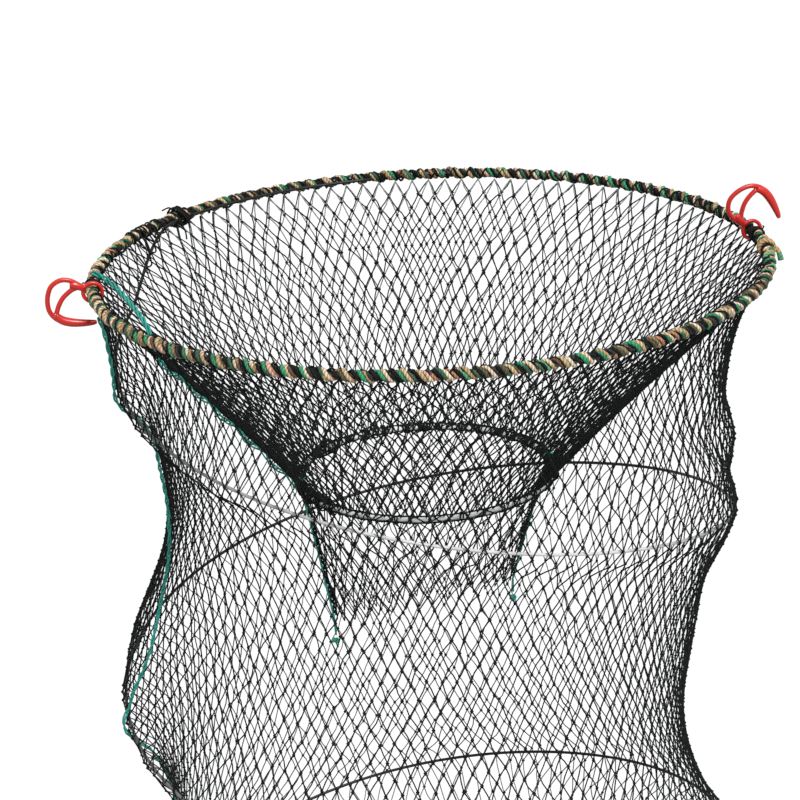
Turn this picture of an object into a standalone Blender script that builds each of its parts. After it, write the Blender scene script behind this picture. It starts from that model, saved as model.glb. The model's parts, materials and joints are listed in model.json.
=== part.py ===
"""A folding fish trap: two rope-wound hoops, one coil spring between them, diamond netting,
and at each end a net funnel that leads through a small ring into a flat throat.

Metres, +Z up. The trap stands on its lower hoop, with its axis on the world's Z axis.
Bearings are in degrees round that axis. A drop is a distance from the nearer hoop's plane.
"""

import math

import bmesh
import bpy
from mathutils import Matrix, Vector

MM = 0.001

# The trap as a whole
TRAP_HEIGHT = 900.0 * MM
GAP = 0.3 * MM
REST_FLAT = 0.35 * MM
SWAY = 17.0 * MM
SWAY_BEARING = 225.0

# Hoops and the rope wound round them
HOOP_RADIUS = 220.0 * MM
HOOP_WIRE = 3.6 * MM
HOOP_SIDES = 72
ROPE = 2.2 * MM
ROPE_LOOPS = 20
ROPE_STEPS = 8

# Coil spring
COIL_INSIDE_HOOP = 14.0 * MM
COIL_WIRE = 2.6 * MM
COIL_TURNS = 3.475
COIL_STEPS = 24
COIL_RIM_STEP = 7.5
COIL_LEAD = 30.0 * MM
COIL_LEAN = 3.0 * MM
COIL_LEAN_BEARING = 225.0
COIL_LEAVES = 190.0
COIL_ON_RIM = 45.0
COIL_BLEND = 0.06
COIL_BLEND_STEPS = 6

# Outer net
NET_COLUMNS = 12
NET_ROWS = 8
NET_TWINE = 2.4 * MM
NET_DEPTH = 1.4 * MM
NET_OVER_COIL = 0.8 * MM
NET_HANG = 2.0 * MM

# Funnels, entry rings and throats
FUNNEL_HANG = 2.0 * MM
FUNNEL_DRAWN_IN = 3.0 * MM
RING_RADIUS = 85.0 * MM
RING_WIRE = 4.0 * MM
RING_SIDES = 36
RING_DROP = 145.8 * MM
FUNNEL_OVER_RING = 0.5 * MM
THROAT_COLUMNS = 8
THROAT_HANG = 1.2 * MM
THROAT_FOOT = 236.0 * MM
TIP_DROP = 254.0 * MM
SLIT_LENGTH = 133.0 * MM
SLIT_WIDTH = 16.0 * MM
SLIT_BEARING = 70.0
THROAT_BEARING = 55.0
RING_KNOT = 9.0 * MM
RING_KNOT_LENGTH = 6.0 * MM
TIP_KNOT = 6.0 * MM

# Cords
CORD = 2.0 * MM
SEAM_BEARING = 240.0
FUNNEL_CORD_START = 220.5
FUNNEL_CORD_STOP = 256.5
FUNNEL_CORD_LEAVES = 260.0
FUNNEL_CORD_END = 246.0

# Twine bindings and knots on the hoops
TWINE = 2.2 * MM
LASHING = 2.0 * MM
KNOT_ROPE = 2.8 * MM
KNOT_TAIL = 12.0 * MM
TURN_GAP = 0.6 * MM
WRAP_STEPS = 8
BINDING_OFF = 3.0
TOP_KNOT = 46.0
BOTTOM_KNOT = 63.0

# Hooks
LEFT_HOOK = 233.0
RIGHT_HOOK = 56.0
LEFT_HOOK_TURN = 0.0
RIGHT_HOOK_TURN = 111.0
LEFT_LASHING = 230.0
RIGHT_LASHING = 53.0
EYE_PLAY = 0.4 * MM
HOOK_BAR = 3.4 * MM
EYE_STEPS = 20
HOOK_OUTER = [(8.8, -6.2), (12.6, -8.7), (17.0, -9.7), (21.8, -8.7), (26.4, -5.0),
              (29.0, 2.0), (28.7, 9.2), (25.6, 14.6), (21.0, 18.2)]
HOOK_INNER = [(8.8, -4.6), (12.6, -3.6), (16.6, -2.2), (20.4, 1.0), (23.2, 6.2), (24.2, 12.6)]
HOOK_ARM = [(24.4, 13.8, 5.0), (20.4, 17.6, 6.4), (15.2, 18.8, 6.2), (10.0, 18.9, 5.3),
            (5.8, 18.5, 4.6), (3.2, 18.0, 2.8)]
HOOK_NECK = [(5.4, -3.4, 3.8), (8.6, -5.2, 4.8), (12.0, -6.1, 5.0), (14.4, -6.4, 4.0)]

# Sizes that follow from these
COIL_RADIUS = HOOP_RADIUS - COIL_INSIDE_HOOP
ROPE_PATH = (HOOP_WIRE / 2 + ROPE / 2 + GAP) / math.cos(math.pi / ROPE_STEPS)
RIM_OUT = ROPE_PATH + ROPE / 2
Z_BOTTOM = RIM_OUT - REST_FLAT
Z_TOP = TRAP_HEIGHT - RIM_OUT
HOOP_DISTANCE = Z_TOP - Z_BOTTOM
COIL_PITCH = (HOOP_DISTANCE - 2 * COIL_LEAD) / COIL_TURNS
COIL_BESIDE_RIM = RIM_OUT + GAP + COIL_WIRE / 2
NET_RADIUS = (COIL_RADIUS + COIL_WIRE / 2 + NET_OVER_COIL + NET_DEPTH) / math.cos(math.pi / NET_COLUMNS / 2)
UNDER_RIM = RIM_OUT + GAP
EYE_RADIUS = RIM_OUT + EYE_PLAY + HOOK_BAR / 2
COIL_JOINS = COIL_LEAVES + 360.0 * COIL_TURNS


# Places

def polar(radius, bearing, height):
    """A point at a bearing round the world's Z axis."""
    angle = math.radians(bearing)
    return Vector((radius * math.cos(angle), radius * math.sin(angle), height))


def level(end, drop):
    """Height of a drop from the top or the bottom hoop's plane."""
    return Z_TOP - drop if end == "top" else Z_BOTTOM + drop


def swayed(point):
    """The point moved with the slack middle of the trap, which leans to one side."""
    share = (Z_TOP - point.z) / HOOP_DISTANCE
    shift = SWAY * math.sin(math.pi * min(max(share, 0.0), 1.0))
    return point + polar(shift, SWAY_BEARING, 0.0)


def side_radius(radius, side, bearing, corner=0.0):
    """Radius at a bearing of a wire ring made of straight sides of this angle, with a corner given."""
    off = math.radians((bearing - corner) % side - side / 2)
    return radius * math.cos(math.radians(side / 2)) / math.cos(off)


def hoop_radius(bearing):
    """Radius of the hoop's centreline at a bearing."""
    return side_radius(HOOP_RADIUS, 360.0 / HOOP_SIDES, bearing)


def by_hoop(end, bearing, outward, upward):
    """A point beside a hoop, in the section at a bearing."""
    return polar(hoop_radius(bearing) + outward, bearing, level(end, 0.0) + upward)


def smooth(share):
    """Ease from 0 to 1."""
    share = min(max(share, 0.0), 1.0)
    return share * share * (3 - 2 * share)


def curve_through(points, steps):
    """Points on a smooth curve through the given ones, with steps to each span."""
    ends = [points[0] * 2 - points[1]] + points + [points[-1] * 2 - points[-2]]
    path = []
    for i in range(1, len(ends) - 2):
        before, start, stop, after = ends[i - 1:i + 3]
        for step in range(steps):
            t = step / steps
            path.append(0.5 * (2 * start + (stop - before) * t
                               + (2 * before - 5 * start + 4 * stop - after) * t * t
                               + (3 * start - before - 3 * stop + after) * t ** 3))
    return path + [points[-1]]


# Makers

def material(name, colour, roughness, metallic=0.0):
    """A plain Principled material."""
    mat = bpy.data.materials.new(name)
    mat.use_nodes = True
    shader = mat.node_tree.nodes["Principled BSDF"]
    shader.inputs["Base Color"].default_value = (*colour, 1.0)
    shader.inputs["Roughness"].default_value = roughness
    shader.inputs["Metallic"].default_value = metallic
    return mat


def tube(name, points, thickness, mat, closed=False, sides=8, widths=None):
    """A wire, rope or cord along the points, as one curve with filled caps."""
    curve = bpy.data.curves.new(name, "CURVE")
    curve.dimensions = "3D"
    curve.resolution_u = 1
    curve.render_resolution_u = 1
    curve.bevel_depth = thickness / 2
    curve.bevel_resolution = (sides - 4) // 2
    curve.use_fill_caps = not closed
    spline = curve.splines.new("POLY")
    spline.points.add(len(points) - 1)
    for i, point in enumerate(points):
        spline.points[i].co = (*point, 1.0)
        spline.points[i].radius = 1.0 if widths is None else widths[i] / thickness
    spline.use_cyclic_u = closed
    curve.materials.append(mat)
    obj = bpy.data.objects.new(name, curve)
    bpy.context.scene.collection.objects.link(obj)
    return obj


def solid(name, bm, mat, edge_angle=40.0):
    """A mesh object from a bmesh, with smooth shading up to an edge angle."""
    bmesh.ops.recalc_face_normals(bm, faces=bm.faces)
    mesh = bpy.data.meshes.new(name)
    bm.to_mesh(mesh)
    bm.free()
    mesh.materials.append(mat)
    mesh.shade_smooth()
    mesh.set_sharp_from_angle(angle=math.radians(edge_angle))
    obj = bpy.data.objects.new(name, mesh)
    bpy.context.scene.collection.objects.link(obj)
    return obj


def as_bmesh(obj):
    """The evaluated shape of an object as a bmesh; the object is removed."""
    bpy.context.view_layer.update()
    shape = bpy.data.meshes.new_from_object(obj.evaluated_get(bpy.context.evaluated_depsgraph_get()))
    bm = bmesh.new()
    bm.from_mesh(shape)
    bmesh.ops.remove_doubles(bm, verts=bm.verts, dist=0.001 * MM)
    bpy.data.meshes.remove(shape)
    bpy.data.objects.remove(obj)
    return bm


def least_gap(points, thickness, closed, apart):
    """Least gap of a tube to itself, between points that lie further apart than this along it."""
    fine = []
    spans = zip(points, points[1:] + points[:1]) if closed else zip(points, points[1:])
    for start, stop in spans:
        fine.extend(start.lerp(stop, step / 3) for step in range(3))
    along = [0.0]
    for start, stop in zip(fine, fine[1:]):
        along.append(along[-1] + (stop - start).length)
    whole = along[-1] + (fine[-1] - fine[0]).length
    least = math.inf
    for i, point in enumerate(fine):
        for j in range(i + 1, len(fine)):
            way = along[j] - along[i]
            if closed:
                way = min(way, whole - way)
            if way > apart:
                least = min(least, (point - fine[j]).length)
    return least - thickness


def say_gap(name, gap):
    """Print the least gap of a wound piece to itself."""
    print(f"{name}: least gap to itself {gap / MM:.2f} mm")


# Hoops, rope and coil

def make_hoop(end, mat):
    """The wire hoop that carries one end."""
    points = [polar(HOOP_RADIUS, 360.0 * i / HOOP_SIDES, level(end, 0.0)) for i in range(HOOP_SIDES)]
    return tube(f"{end}_hoop", points, HOOP_WIRE, mat, closed=True, sides=6)


def rope_angle(bearing):
    """Where the rope is in its turn round the hoop: 90 is on top and 270 is below."""
    return 270.0 - ROPE_LOOPS * bearing


def make_rim_rope(end, mat):
    """The rope wound round a hoop, as one endless tube; the lower one is cut flat where it stands."""
    count = ROPE_LOOPS * ROPE_STEPS
    points = []
    for i in range(count):
        bearing = 360.0 * i / count
        angle = math.radians(rope_angle(bearing))
        points.append(by_hoop(end, bearing, ROPE_PATH * math.cos(angle), ROPE_PATH * math.sin(angle)))
    say_gap(f"{end}_rim_rope", least_gap(points, ROPE, True, 4 * ROPE))
    rope = tube(f"{end}_rim_rope", points, ROPE, mat, closed=True, sides=6)
    if end == "top":
        return rope
    bm = as_bmesh(rope)
    geometry = bm.verts[:] + bm.edges[:] + bm.faces[:]
    cut = bmesh.ops.bisect_plane(bm, geom=geometry, plane_co=(0, 0, 0), plane_no=(0, 0, 1), clear_inner=True)
    edges = [part for part in cut["geom_cut"] if isinstance(part, bmesh.types.BMEdge)]
    bmesh.ops.holes_fill(bm, edges=edges)
    bmesh.ops.triangulate(bm, faces=[face for face in bm.faces if len(face.verts) > 4])
    return solid(f"{end}_rim_rope", bm, mat)


def coil_point(turn):
    """A point of the coil's centreline; turn 0 is where it leaves the top hoop."""
    bearing = COIL_LEAVES + 360.0 * turn
    share = smooth(turn / COIL_BLEND) * smooth((COIL_TURNS - turn) / COIL_BLEND)
    height = Z_TOP - COIL_LEAD - COIL_PITCH * turn
    height += COIL_LEAN * math.cos(math.radians(bearing - COIL_LEAN_BEARING))
    rim = Z_TOP if turn < COIL_TURNS / 2 else Z_BOTTOM
    beside = hoop_radius(bearing) - COIL_BESIDE_RIM
    return swayed(polar(beside + (COIL_RADIUS - beside) * share, bearing, rim + (height - rim) * share))


def lying_coil(end, bearing):
    """How far from the hoop's centreline the coil's straight pieces lie along a rim."""
    corner = COIL_LEAVES if end == "top" else COIL_JOINS
    return side_radius(HOOP_RADIUS - COIL_BESIDE_RIM, COIL_RIM_STEP, bearing, corner) - hoop_radius(bearing)


def make_coil(mat):
    """The spring: each end lies along its hoop, and the turns between hold the trap open."""
    lying = [COIL_RIM_STEP / 360.0 * i for i in range(1, round(COIL_ON_RIM / COIL_RIM_STEP) + 1)]
    leaving = [COIL_BLEND * i / COIL_BLEND_STEPS for i in range(COIL_BLEND_STEPS)]
    free = COIL_TURNS - 2 * COIL_BLEND
    count = round(free * COIL_STEPS)
    turns = [-turn for turn in reversed(lying)] + leaving
    turns += [COIL_BLEND + free * i / count for i in range(count + 1)]
    turns += [COIL_TURNS - turn for turn in reversed(leaving)]
    turns += [COIL_TURNS + turn for turn in lying]
    points = [coil_point(turn) for turn in turns]
    say_gap("coil_spring", least_gap(points, COIL_WIRE, False, COIL_RADIUS))
    return tube("coil_spring", points, COIL_WIRE, mat, sides=6)


# Twine wound round a hoop and what lies beside it

def wound_outline(circles, clearance, steps):
    """Corners of the tight polygon, with this many sides, round circles (outward, upward, radius)."""
    angles = [2 * math.pi * (i + 0.5) / steps for i in range(steps + 1)]
    reach = [max(x * math.cos(a) + y * math.sin(a) + r for x, y, r in circles) + clearance for a in angles]
    corners = []
    for i in range(steps):
        a, b = angles[i], angles[i + 1]
        span = math.sin(b - a)
        corners.append(((reach[i] * math.sin(b) - reach[i + 1] * math.sin(a)) / span,
                        (reach[i + 1] * math.cos(a) - reach[i] * math.cos(b)) / span))
    return corners


def wrap(name, end, bearing, turns, thickness, mat, with_coil=False, tail=0.0):
    """Turns of twine round the hoop and its rope, and round the coil where it lies beside them."""
    step = math.degrees((thickness + TURN_GAP) / HOOP_RADIUS)
    circles = [(0.0, 0.0, HOOP_WIRE / 2)]
    for off in (-turns * step / 2, 0.0, turns * step / 2):
        angle = math.radians(rope_angle(bearing + off))
        circles.append((ROPE_PATH * math.cos(angle), ROPE_PATH * math.sin(angle), ROPE / 2))
        if with_coil:
            circles.append((lying_coil(end, bearing + off), 0.0, COIL_WIRE / 2))
    corners = wound_outline(circles, GAP + thickness / 2, WRAP_STEPS)
    points = []
    for i in range(turns * WRAP_STEPS + 1):
        place = bearing + step * (i / WRAP_STEPS - turns / 2)
        points.append(by_hoop(end, place, *corners[i % WRAP_STEPS]))
    say_gap(name, least_gap(points, thickness, False, 4 * thickness))
    if tail:
        outward = (points[-1] - points[-2]).normalized()
        side = polar(1.0, bearing + 90.0, 0.0)
        for share in (0.35, 0.7, 1.0):
            lean = outward * (1.0 - 0.5 * share) + side * (0.4 + 0.8 * share)
            points.append(points[-1] + lean.normalized() * tail / 3)
    return tube(name, points, thickness, mat, sides=6)


# Netting

def make_net(name, place, columns, rows, mat, turned=0.0):
    """A tube of diamond netting as one closed lattice. place(bearing, share) is its outer face."""
    halves = 2 * columns

    def knot(i, j):
        return place(360.0 * i / halves + turned, j / rows)

    bm = bmesh.new()
    corners = {}
    for j in range(rows + 1):
        for i in range(halves):
            if (i + j) % 2:
                continue
            here = knot(i, j)
            across = (knot(i + 1, j) - knot(i - 1, j)) / 2
            down = knot(i, min(j + 1, rows)) - knot(i, max(j - 1, 0))
            down = down / (min(j + 1, rows) - max(j - 1, 0))
            inward = across.cross(down).normalized()
            if inward.dot(Vector((here.x, here.y, 0.0))) > 0:
                inward = -inward
            bar = math.hypot(across.length, down.length)
            wide = across.normalized() * NET_TWINE * bar / (2 * down.length)
            tall = down.normalized() * NET_TWINE * bar / (2 * across.length)
            spots = {"left": here - wide, "right": here + wide, "inner": here + inward * NET_DEPTH}
            if j > 0:
                spots["top"] = here - tall
            if j < rows:
                spots["bottom"] = here + tall
            corners[i, j] = {side: bm.verts.new(spot) for side, spot in spots.items()}
            around = [corners[i, j][side] for side in ("left", "top", "right", "bottom") if side in spots]
            bm.faces.new(around)
            if len(around) == 3:
                bm.faces.new([corners[i, j][side] for side in ("left", "right", "inner")])
    for (i, j), upper in corners.items():
        if j == rows:
            continue
        for way, near, far in ((1, "right", "left"), (-1, "left", "right")):
            lower = corners[(i + way) % halves, j + 1]
            bm.faces.new([upper[near], lower["top"], lower[far], upper["bottom"]])
            bm.faces.new([upper[near], lower["top"], lower["inner"], upper["inner"]])
            bm.faces.new([upper["bottom"], lower[far], lower["inner"], upper["inner"]])
    return solid(name, bm, mat)


def outer_net_point(bearing, share):
    """The outer net's face: it hangs from the rims and rests on the coil between them."""
    height = Z_TOP - UNDER_RIM - share * (HOOP_DISTANCE - 2 * UNDER_RIM)
    at_rim = share in (0.0, 1.0)
    return swayed(polar(HOOP_RADIUS + NET_HANG if at_rim else NET_RADIUS, bearing, height))


def funnel_point(end, bearing, share, out=0.0):
    """The funnel's face from the rim, share 0, to the entry ring, share 1."""
    start = Vector((HOOP_RADIUS - FUNNEL_HANG, UNDER_RIM))
    beside = (RING_WIRE / 2 + FUNNEL_OVER_RING) * math.sqrt(0.5)
    stop = Vector((RING_RADIUS + beside, RING_DROP - beside))
    slope = (stop - start).normalized()
    outward = Vector((slope.y, -slope.x))
    spot = start.lerp(stop, share) + outward * (out - FUNNEL_DRAWN_IN * 4 * share * (1 - share))
    return swayed(polar(spot.x, bearing, level(end, spot.y)))


def throat_point(end, turn, share, out=0.0):
    """The throat's face from the ring, share 0, to its flat foot, share 1."""
    angle = math.radians(turn)
    top_angle = math.radians(THROAT_BEARING + turn)
    ring = Vector((math.cos(top_angle), math.sin(top_angle))) * (RING_RADIUS + out)
    slit = Vector((math.cos(angle) * (SLIT_LENGTH / 2 + out), math.sin(angle) * (SLIT_WIDTH / 2 + out)))
    slit.rotate(Matrix.Rotation(math.radians(SLIT_BEARING), 2))
    spot = ring.lerp(slit, share)
    start = RING_DROP + RING_WIRE / 2 + THROAT_HANG
    drop = start + (THROAT_FOOT - start) * share
    return swayed(Vector((spot.x, spot.y, level(end, drop))))


# Rings, knots and cords of the funnels

def ring_place(end, bearing, outward=0.0, drop=0.0):
    """A point beside an entry ring, outward of its wire and further from the hoop by the drop."""
    radius = side_radius(RING_RADIUS, 360.0 / RING_SIDES, bearing) + outward
    wire = swayed(polar(radius, bearing, level(end, RING_DROP)))
    return Vector((wire.x, wire.y, level(end, RING_DROP + drop)))


def make_ring(end, mat):
    """The small wire ring at the inner end of a funnel."""
    points = [ring_place(end, 360.0 * i / RING_SIDES) for i in range(RING_SIDES)]
    return tube(f"{end}_entry_ring", points, RING_WIRE, mat, closed=True)


def make_ring_knot(name, end, bearing, mat):
    """A cord knot tied round the ring: a waisted sleeve, turned about the ring's wire."""
    half = RING_KNOT_LENGTH / 2
    wall = RING_KNOT / 2
    bore = RING_WIRE / 2 + GAP
    profile = [(bore, -half), (wall * 0.86, -half), (wall, -half * 0.5), (wall * 0.88, 0.0),
               (wall, half * 0.5), (wall * 0.86, half), (bore, half)]
    bm = bmesh.new()
    verts = [bm.verts.new((radius, 0.0, along)) for radius, along in profile]
    edges = [bm.edges.new((verts[i], verts[(i + 1) % len(verts)])) for i in range(len(verts))]
    bmesh.ops.spin(bm, geom=verts + edges, cent=(0, 0, 0), axis=(0, 0, 1), angle=2 * math.pi, steps=10)
    bmesh.ops.remove_doubles(bm, verts=bm.verts, dist=0.001 * MM)
    knot = solid(name, bm, mat)
    knot.location = ring_place(end, bearing)
    knot.rotation_euler = (math.radians(90.0), 0.0, math.radians(bearing))
    return knot


def tip_point(end, turn, drop):
    """A point under an end of the throat's slit, on the line of its cord."""
    side = SLIT_LENGTH / 2 + GAP + CORD / 2
    place = swayed(polar(side if turn == 0 else -side, SLIT_BEARING, level(end, TIP_DROP)))
    return Vector((place.x, place.y, level(end, drop)))


def make_throat_cord(name, end, turn, mat):
    """The cord down one edge of the throat, from the ring's knot to the tip's knot."""
    off = GAP + CORD / 2
    points = [ring_place(end, THROAT_BEARING + turn, 0.0, RING_KNOT / 2 + GAP)]
    points += [throat_point(end, turn, share, off) for share in (0.25, 0.5, 0.75, 1.0)]
    points.append(tip_point(end, turn, TIP_DROP - TIP_KNOT / 2 - GAP))
    return tube(name, points, CORD, mat)


def make_tip_knot(name, end, turn, mat):
    """The knot at an end of the slit."""
    bm = bmesh.new()
    bmesh.ops.create_icosphere(bm, subdivisions=2, radius=TIP_KNOT / 2)
    knot = solid(name, bm, mat)
    knot.location = tip_point(end, turn, TIP_DROP)
    return knot


def make_funnel_cord(end, mat):
    """The cord drawn straight across a stretch of rim, then down the funnel to its ring."""
    beside = -(UNDER_RIM + CORD / 2)
    start, stop = [by_hoop(end, bearing, beside, 0.0) for bearing in (FUNNEL_CORD_START, FUNNEL_CORD_STOP)]
    points = [start.lerp(stop, i / 5) for i in range(6)]
    off = GAP + CORD
    for share in (0.12, 0.25, 0.38, 0.51, 0.64, 0.77, 0.9):
        bearing = FUNNEL_CORD_LEAVES + (FUNNEL_CORD_END - FUNNEL_CORD_LEAVES) * share
        points.append(funnel_point(end, bearing, share, off))
    points.append(ring_place(end, FUNNEL_CORD_END, RING_WIRE / 2 + CORD / 2))
    return tube(f"{end}_funnel_cord", curve_through(points, 2), CORD, mat)


def make_seam_cord(mat):
    """The cord down the outside of the net's seam."""
    beside = UNDER_RIM + CORD / 2
    off = GAP + CORD / 2 + 0.3 * MM
    points = [by_hoop("top", SEAM_BEARING, beside, 2.0 * MM)]
    for step in range(1, 2 * NET_ROWS):
        share = step / (2 * NET_ROWS)
        hang = (NET_HANG + HOOP_RADIUS - NET_RADIUS) * max(0.0, 1.0 - share * NET_ROWS / 2, 1.0 - (1 - share) * NET_ROWS / 2)
        height = Z_TOP - UNDER_RIM - share * (HOOP_DISTANCE - 2 * UNDER_RIM)
        points.append(swayed(polar(NET_RADIUS + hang + off, SEAM_BEARING, height)))
    points.append(by_hoop("bottom", SEAM_BEARING, beside, -2.0 * MM))
    return tube("side_seam_cord", curve_through(points, 2), CORD, mat)


# Hooks

def hook_shape(mat):
    """One moulded hook: an eye round the rim, two rails with a slot between, and a tapered arm."""
    def flat(points):
        return [Vector((x * MM, y * MM, 0.0)) for x, y in points]

    def thick(points):
        return flat([(x, y) for x, y, _ in points]), [size * MM for _, _, size in points]

    eye = [Vector((EYE_RADIUS * math.cos(a), EYE_RADIUS * math.sin(a), 0.0))
           for a in (2 * math.pi * i / EYE_STEPS for i in range(EYE_STEPS))]
    body = tube("hook_eye", eye, HOOK_BAR, mat, closed=True)
    neck, neck_widths = thick(HOOK_NECK)
    arm, arm_widths = thick(HOOK_ARM)
    pieces = [tube("hook_outer", curve_through(flat(HOOK_OUTER), 2), HOOK_BAR, mat),
              tube("hook_inner", curve_through(flat(HOOK_INNER), 2), HOOK_BAR, mat),
              tube("hook_neck", neck, HOOK_BAR, mat, widths=neck_widths),
              tube("hook_arm", arm, HOOK_BAR, mat, widths=arm_widths)]
    shape = solid("hook_body", as_bmesh(body), mat)
    guides = []
    for i, piece in enumerate(pieces):
        guide = solid(f"hook_guide_{i}", as_bmesh(piece), mat)
        join = shape.modifiers.new(f"join_{i}", "BOOLEAN")
        join.operation = "UNION"
        join.solver = "EXACT"
        join.object = guide
        guides.append(guide)
    bm = as_bmesh(shape)
    for guide in guides:
        bpy.data.objects.remove(guide)
    bmesh.ops.dissolve_degenerate(bm, edges=bm.edges, dist=0.005 * MM)
    return bm


def place_hook(hook, bearing, turn):
    """Put a hook's eye on the top hoop, turned up from pointing straight outward."""
    outward = polar(1.0, bearing, 0.0)
    along = polar(1.0, bearing + 90.0, 0.0)
    angle = math.radians(turn)
    ahead = outward * math.cos(angle) + Vector((0, 0, math.sin(angle)))
    beside = outward * math.sin(angle) - Vector((0, 0, math.cos(angle)))
    turned = Matrix((ahead, beside, along)).transposed().to_4x4()
    hook.matrix_world = Matrix.Translation(polar(hoop_radius(bearing), bearing, Z_TOP)) @ turned


def make_hooks(mat):
    """The two hooks, which share one mesh."""
    left = solid("left_hook", hook_shape(mat), mat, 50.0)
    right = bpy.data.objects.new("right_hook", left.data)
    bpy.context.scene.collection.objects.link(right)
    place_hook(left, LEFT_HOOK, LEFT_HOOK_TURN)
    place_hook(right, RIGHT_HOOK, RIGHT_HOOK_TURN)


def make_end(end, steel, rope, tan, twine, netting, teal):
    """A hoop with its rope, knots, funnel, ring and throat."""
    make_hoop(end, steel)
    make_rim_rope(end, rope)
    wrap(f"{end}_rope_knot", end, TOP_KNOT if end == "top" else BOTTOM_KNOT, 2, KNOT_ROPE, tan, tail=KNOT_TAIL)
    binding = COIL_LEAVES - BINDING_OFF if end == "top" else COIL_JOINS + BINDING_OFF
    wrap(f"{end}_coil_binding", end, binding, 3, TWINE, twine, with_coil=True)
    make_net(f"{end}_funnel_net", lambda bearing, share: funnel_point(end, bearing, share), NET_COLUMNS, 2, netting)
    make_funnel_cord(end, teal)
    make_ring(end, steel)
    make_net(f"{end}_throat_net", lambda turn, share: throat_point(end, turn, share), THROAT_COLUMNS, 2,
             netting, turned=180.0 / THROAT_COLUMNS)
    for side, turn in (("right", 0.0), ("left", 180.0)):
        make_ring_knot(f"{end}_ring_knot_{side}", end, THROAT_BEARING + turn, teal)
        make_throat_cord(f"{end}_throat_cord_{side}", end, turn, teal)
        make_tip_knot(f"{end}_throat_knot_{side}", end, turn, teal)


def main():
    """Build every piece."""
    for obj in list(bpy.data.objects):
        bpy.data.objects.remove(obj)
    steel = material("steel_wire", (0.16, 0.17, 0.16), 0.42, 0.8)
    coil = material("coil_wire", (0.05, 0.06, 0.055), 0.4, 0.5)
    rope = material("camouflage_rope", (0.16, 0.15, 0.08), 0.85)
    tan = material("tan_rope", (0.45, 0.33, 0.17), 0.85)
    twine = material("black_twine", (0.02, 0.02, 0.022), 0.8)
    netting = material("green_netting", (0.03, 0.06, 0.045), 0.7)
    teal = material("teal_cord", (0.02, 0.2, 0.2), 0.7)
    red = material("red_plastic", (0.6, 0.02, 0.02), 0.25)
    for end in ("top", "bottom"):
        make_end(end, steel, rope, tan, twine, netting, teal)
    make_coil(coil)
    make_net("outer_net", outer_net_point, NET_COLUMNS, NET_ROWS, netting)
    make_seam_cord(teal)
    make_hooks(red)
    wrap("left_hook_lashing", "top", LEFT_LASHING, 2, LASHING, twine)
    wrap("right_hook_lashing", "top", RIGHT_LASHING, 2, LASHING, twine)


main()
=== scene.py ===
"""Folding fish trap, dressed: rope-wound hoops, knotted netting, a coil spring, cords and two hooks.

Metres, +Z up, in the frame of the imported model. Bearings are in degrees round the trap's axis, and a
drop is a distance from the nearer hoop's plane.
"""

import json
import logging
import math
from dataclasses import dataclass, replace
from enum import Enum
from functools import partial
from typing import Callable, Optional, Sequence, Union

import bpy
import numpy as np
from mathutils import Matrix, Vector


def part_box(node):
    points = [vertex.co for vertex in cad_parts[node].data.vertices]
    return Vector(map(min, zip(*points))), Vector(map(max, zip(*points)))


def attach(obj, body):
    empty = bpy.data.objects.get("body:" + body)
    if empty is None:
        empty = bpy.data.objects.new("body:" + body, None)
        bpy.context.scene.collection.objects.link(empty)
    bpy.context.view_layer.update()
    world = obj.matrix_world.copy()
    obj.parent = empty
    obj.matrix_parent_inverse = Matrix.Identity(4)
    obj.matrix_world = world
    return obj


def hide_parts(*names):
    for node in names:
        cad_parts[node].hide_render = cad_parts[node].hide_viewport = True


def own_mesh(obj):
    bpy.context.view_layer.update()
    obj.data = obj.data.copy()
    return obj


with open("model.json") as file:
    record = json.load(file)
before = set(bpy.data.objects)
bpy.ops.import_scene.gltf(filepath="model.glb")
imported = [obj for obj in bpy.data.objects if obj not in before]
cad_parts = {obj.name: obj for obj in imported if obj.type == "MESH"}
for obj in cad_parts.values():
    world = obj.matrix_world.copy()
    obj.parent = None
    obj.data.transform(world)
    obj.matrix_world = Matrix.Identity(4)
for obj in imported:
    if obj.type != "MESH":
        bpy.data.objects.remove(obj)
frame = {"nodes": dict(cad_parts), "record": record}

LOG = logging.getLogger("fish_trap")
Colour = tuple[float, float, float]
Triple = tuple[float, float, float]
Array = np.ndarray
Size = Union[float, Array]
Number = Union[float, "Sum"]
Place = Callable[[Array, Array], Array]


class End(Enum):
    """The two ends of the trap."""

    TOP = "top"
    BOTTOM = "bottom"

    @property
    def body(self) -> str:
        """The CAD body that this end's hoop belongs to."""
        return "top_end" if self is End.TOP else "base"

    @property
    def up(self) -> float:
        """Which way is away from the trap's middle."""
        return 1.0 if self is End.TOP else -1.0


class Side(Enum):
    """The two edges of a throat, and the two hooks, as the photograph shows them."""

    RIGHT = "right"
    LEFT = "left"

    @property
    def turn(self) -> float:
        """Degrees round a throat from its right edge."""
        return 0.0 if self is Side.RIGHT else 180.0


# Shaders

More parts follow.
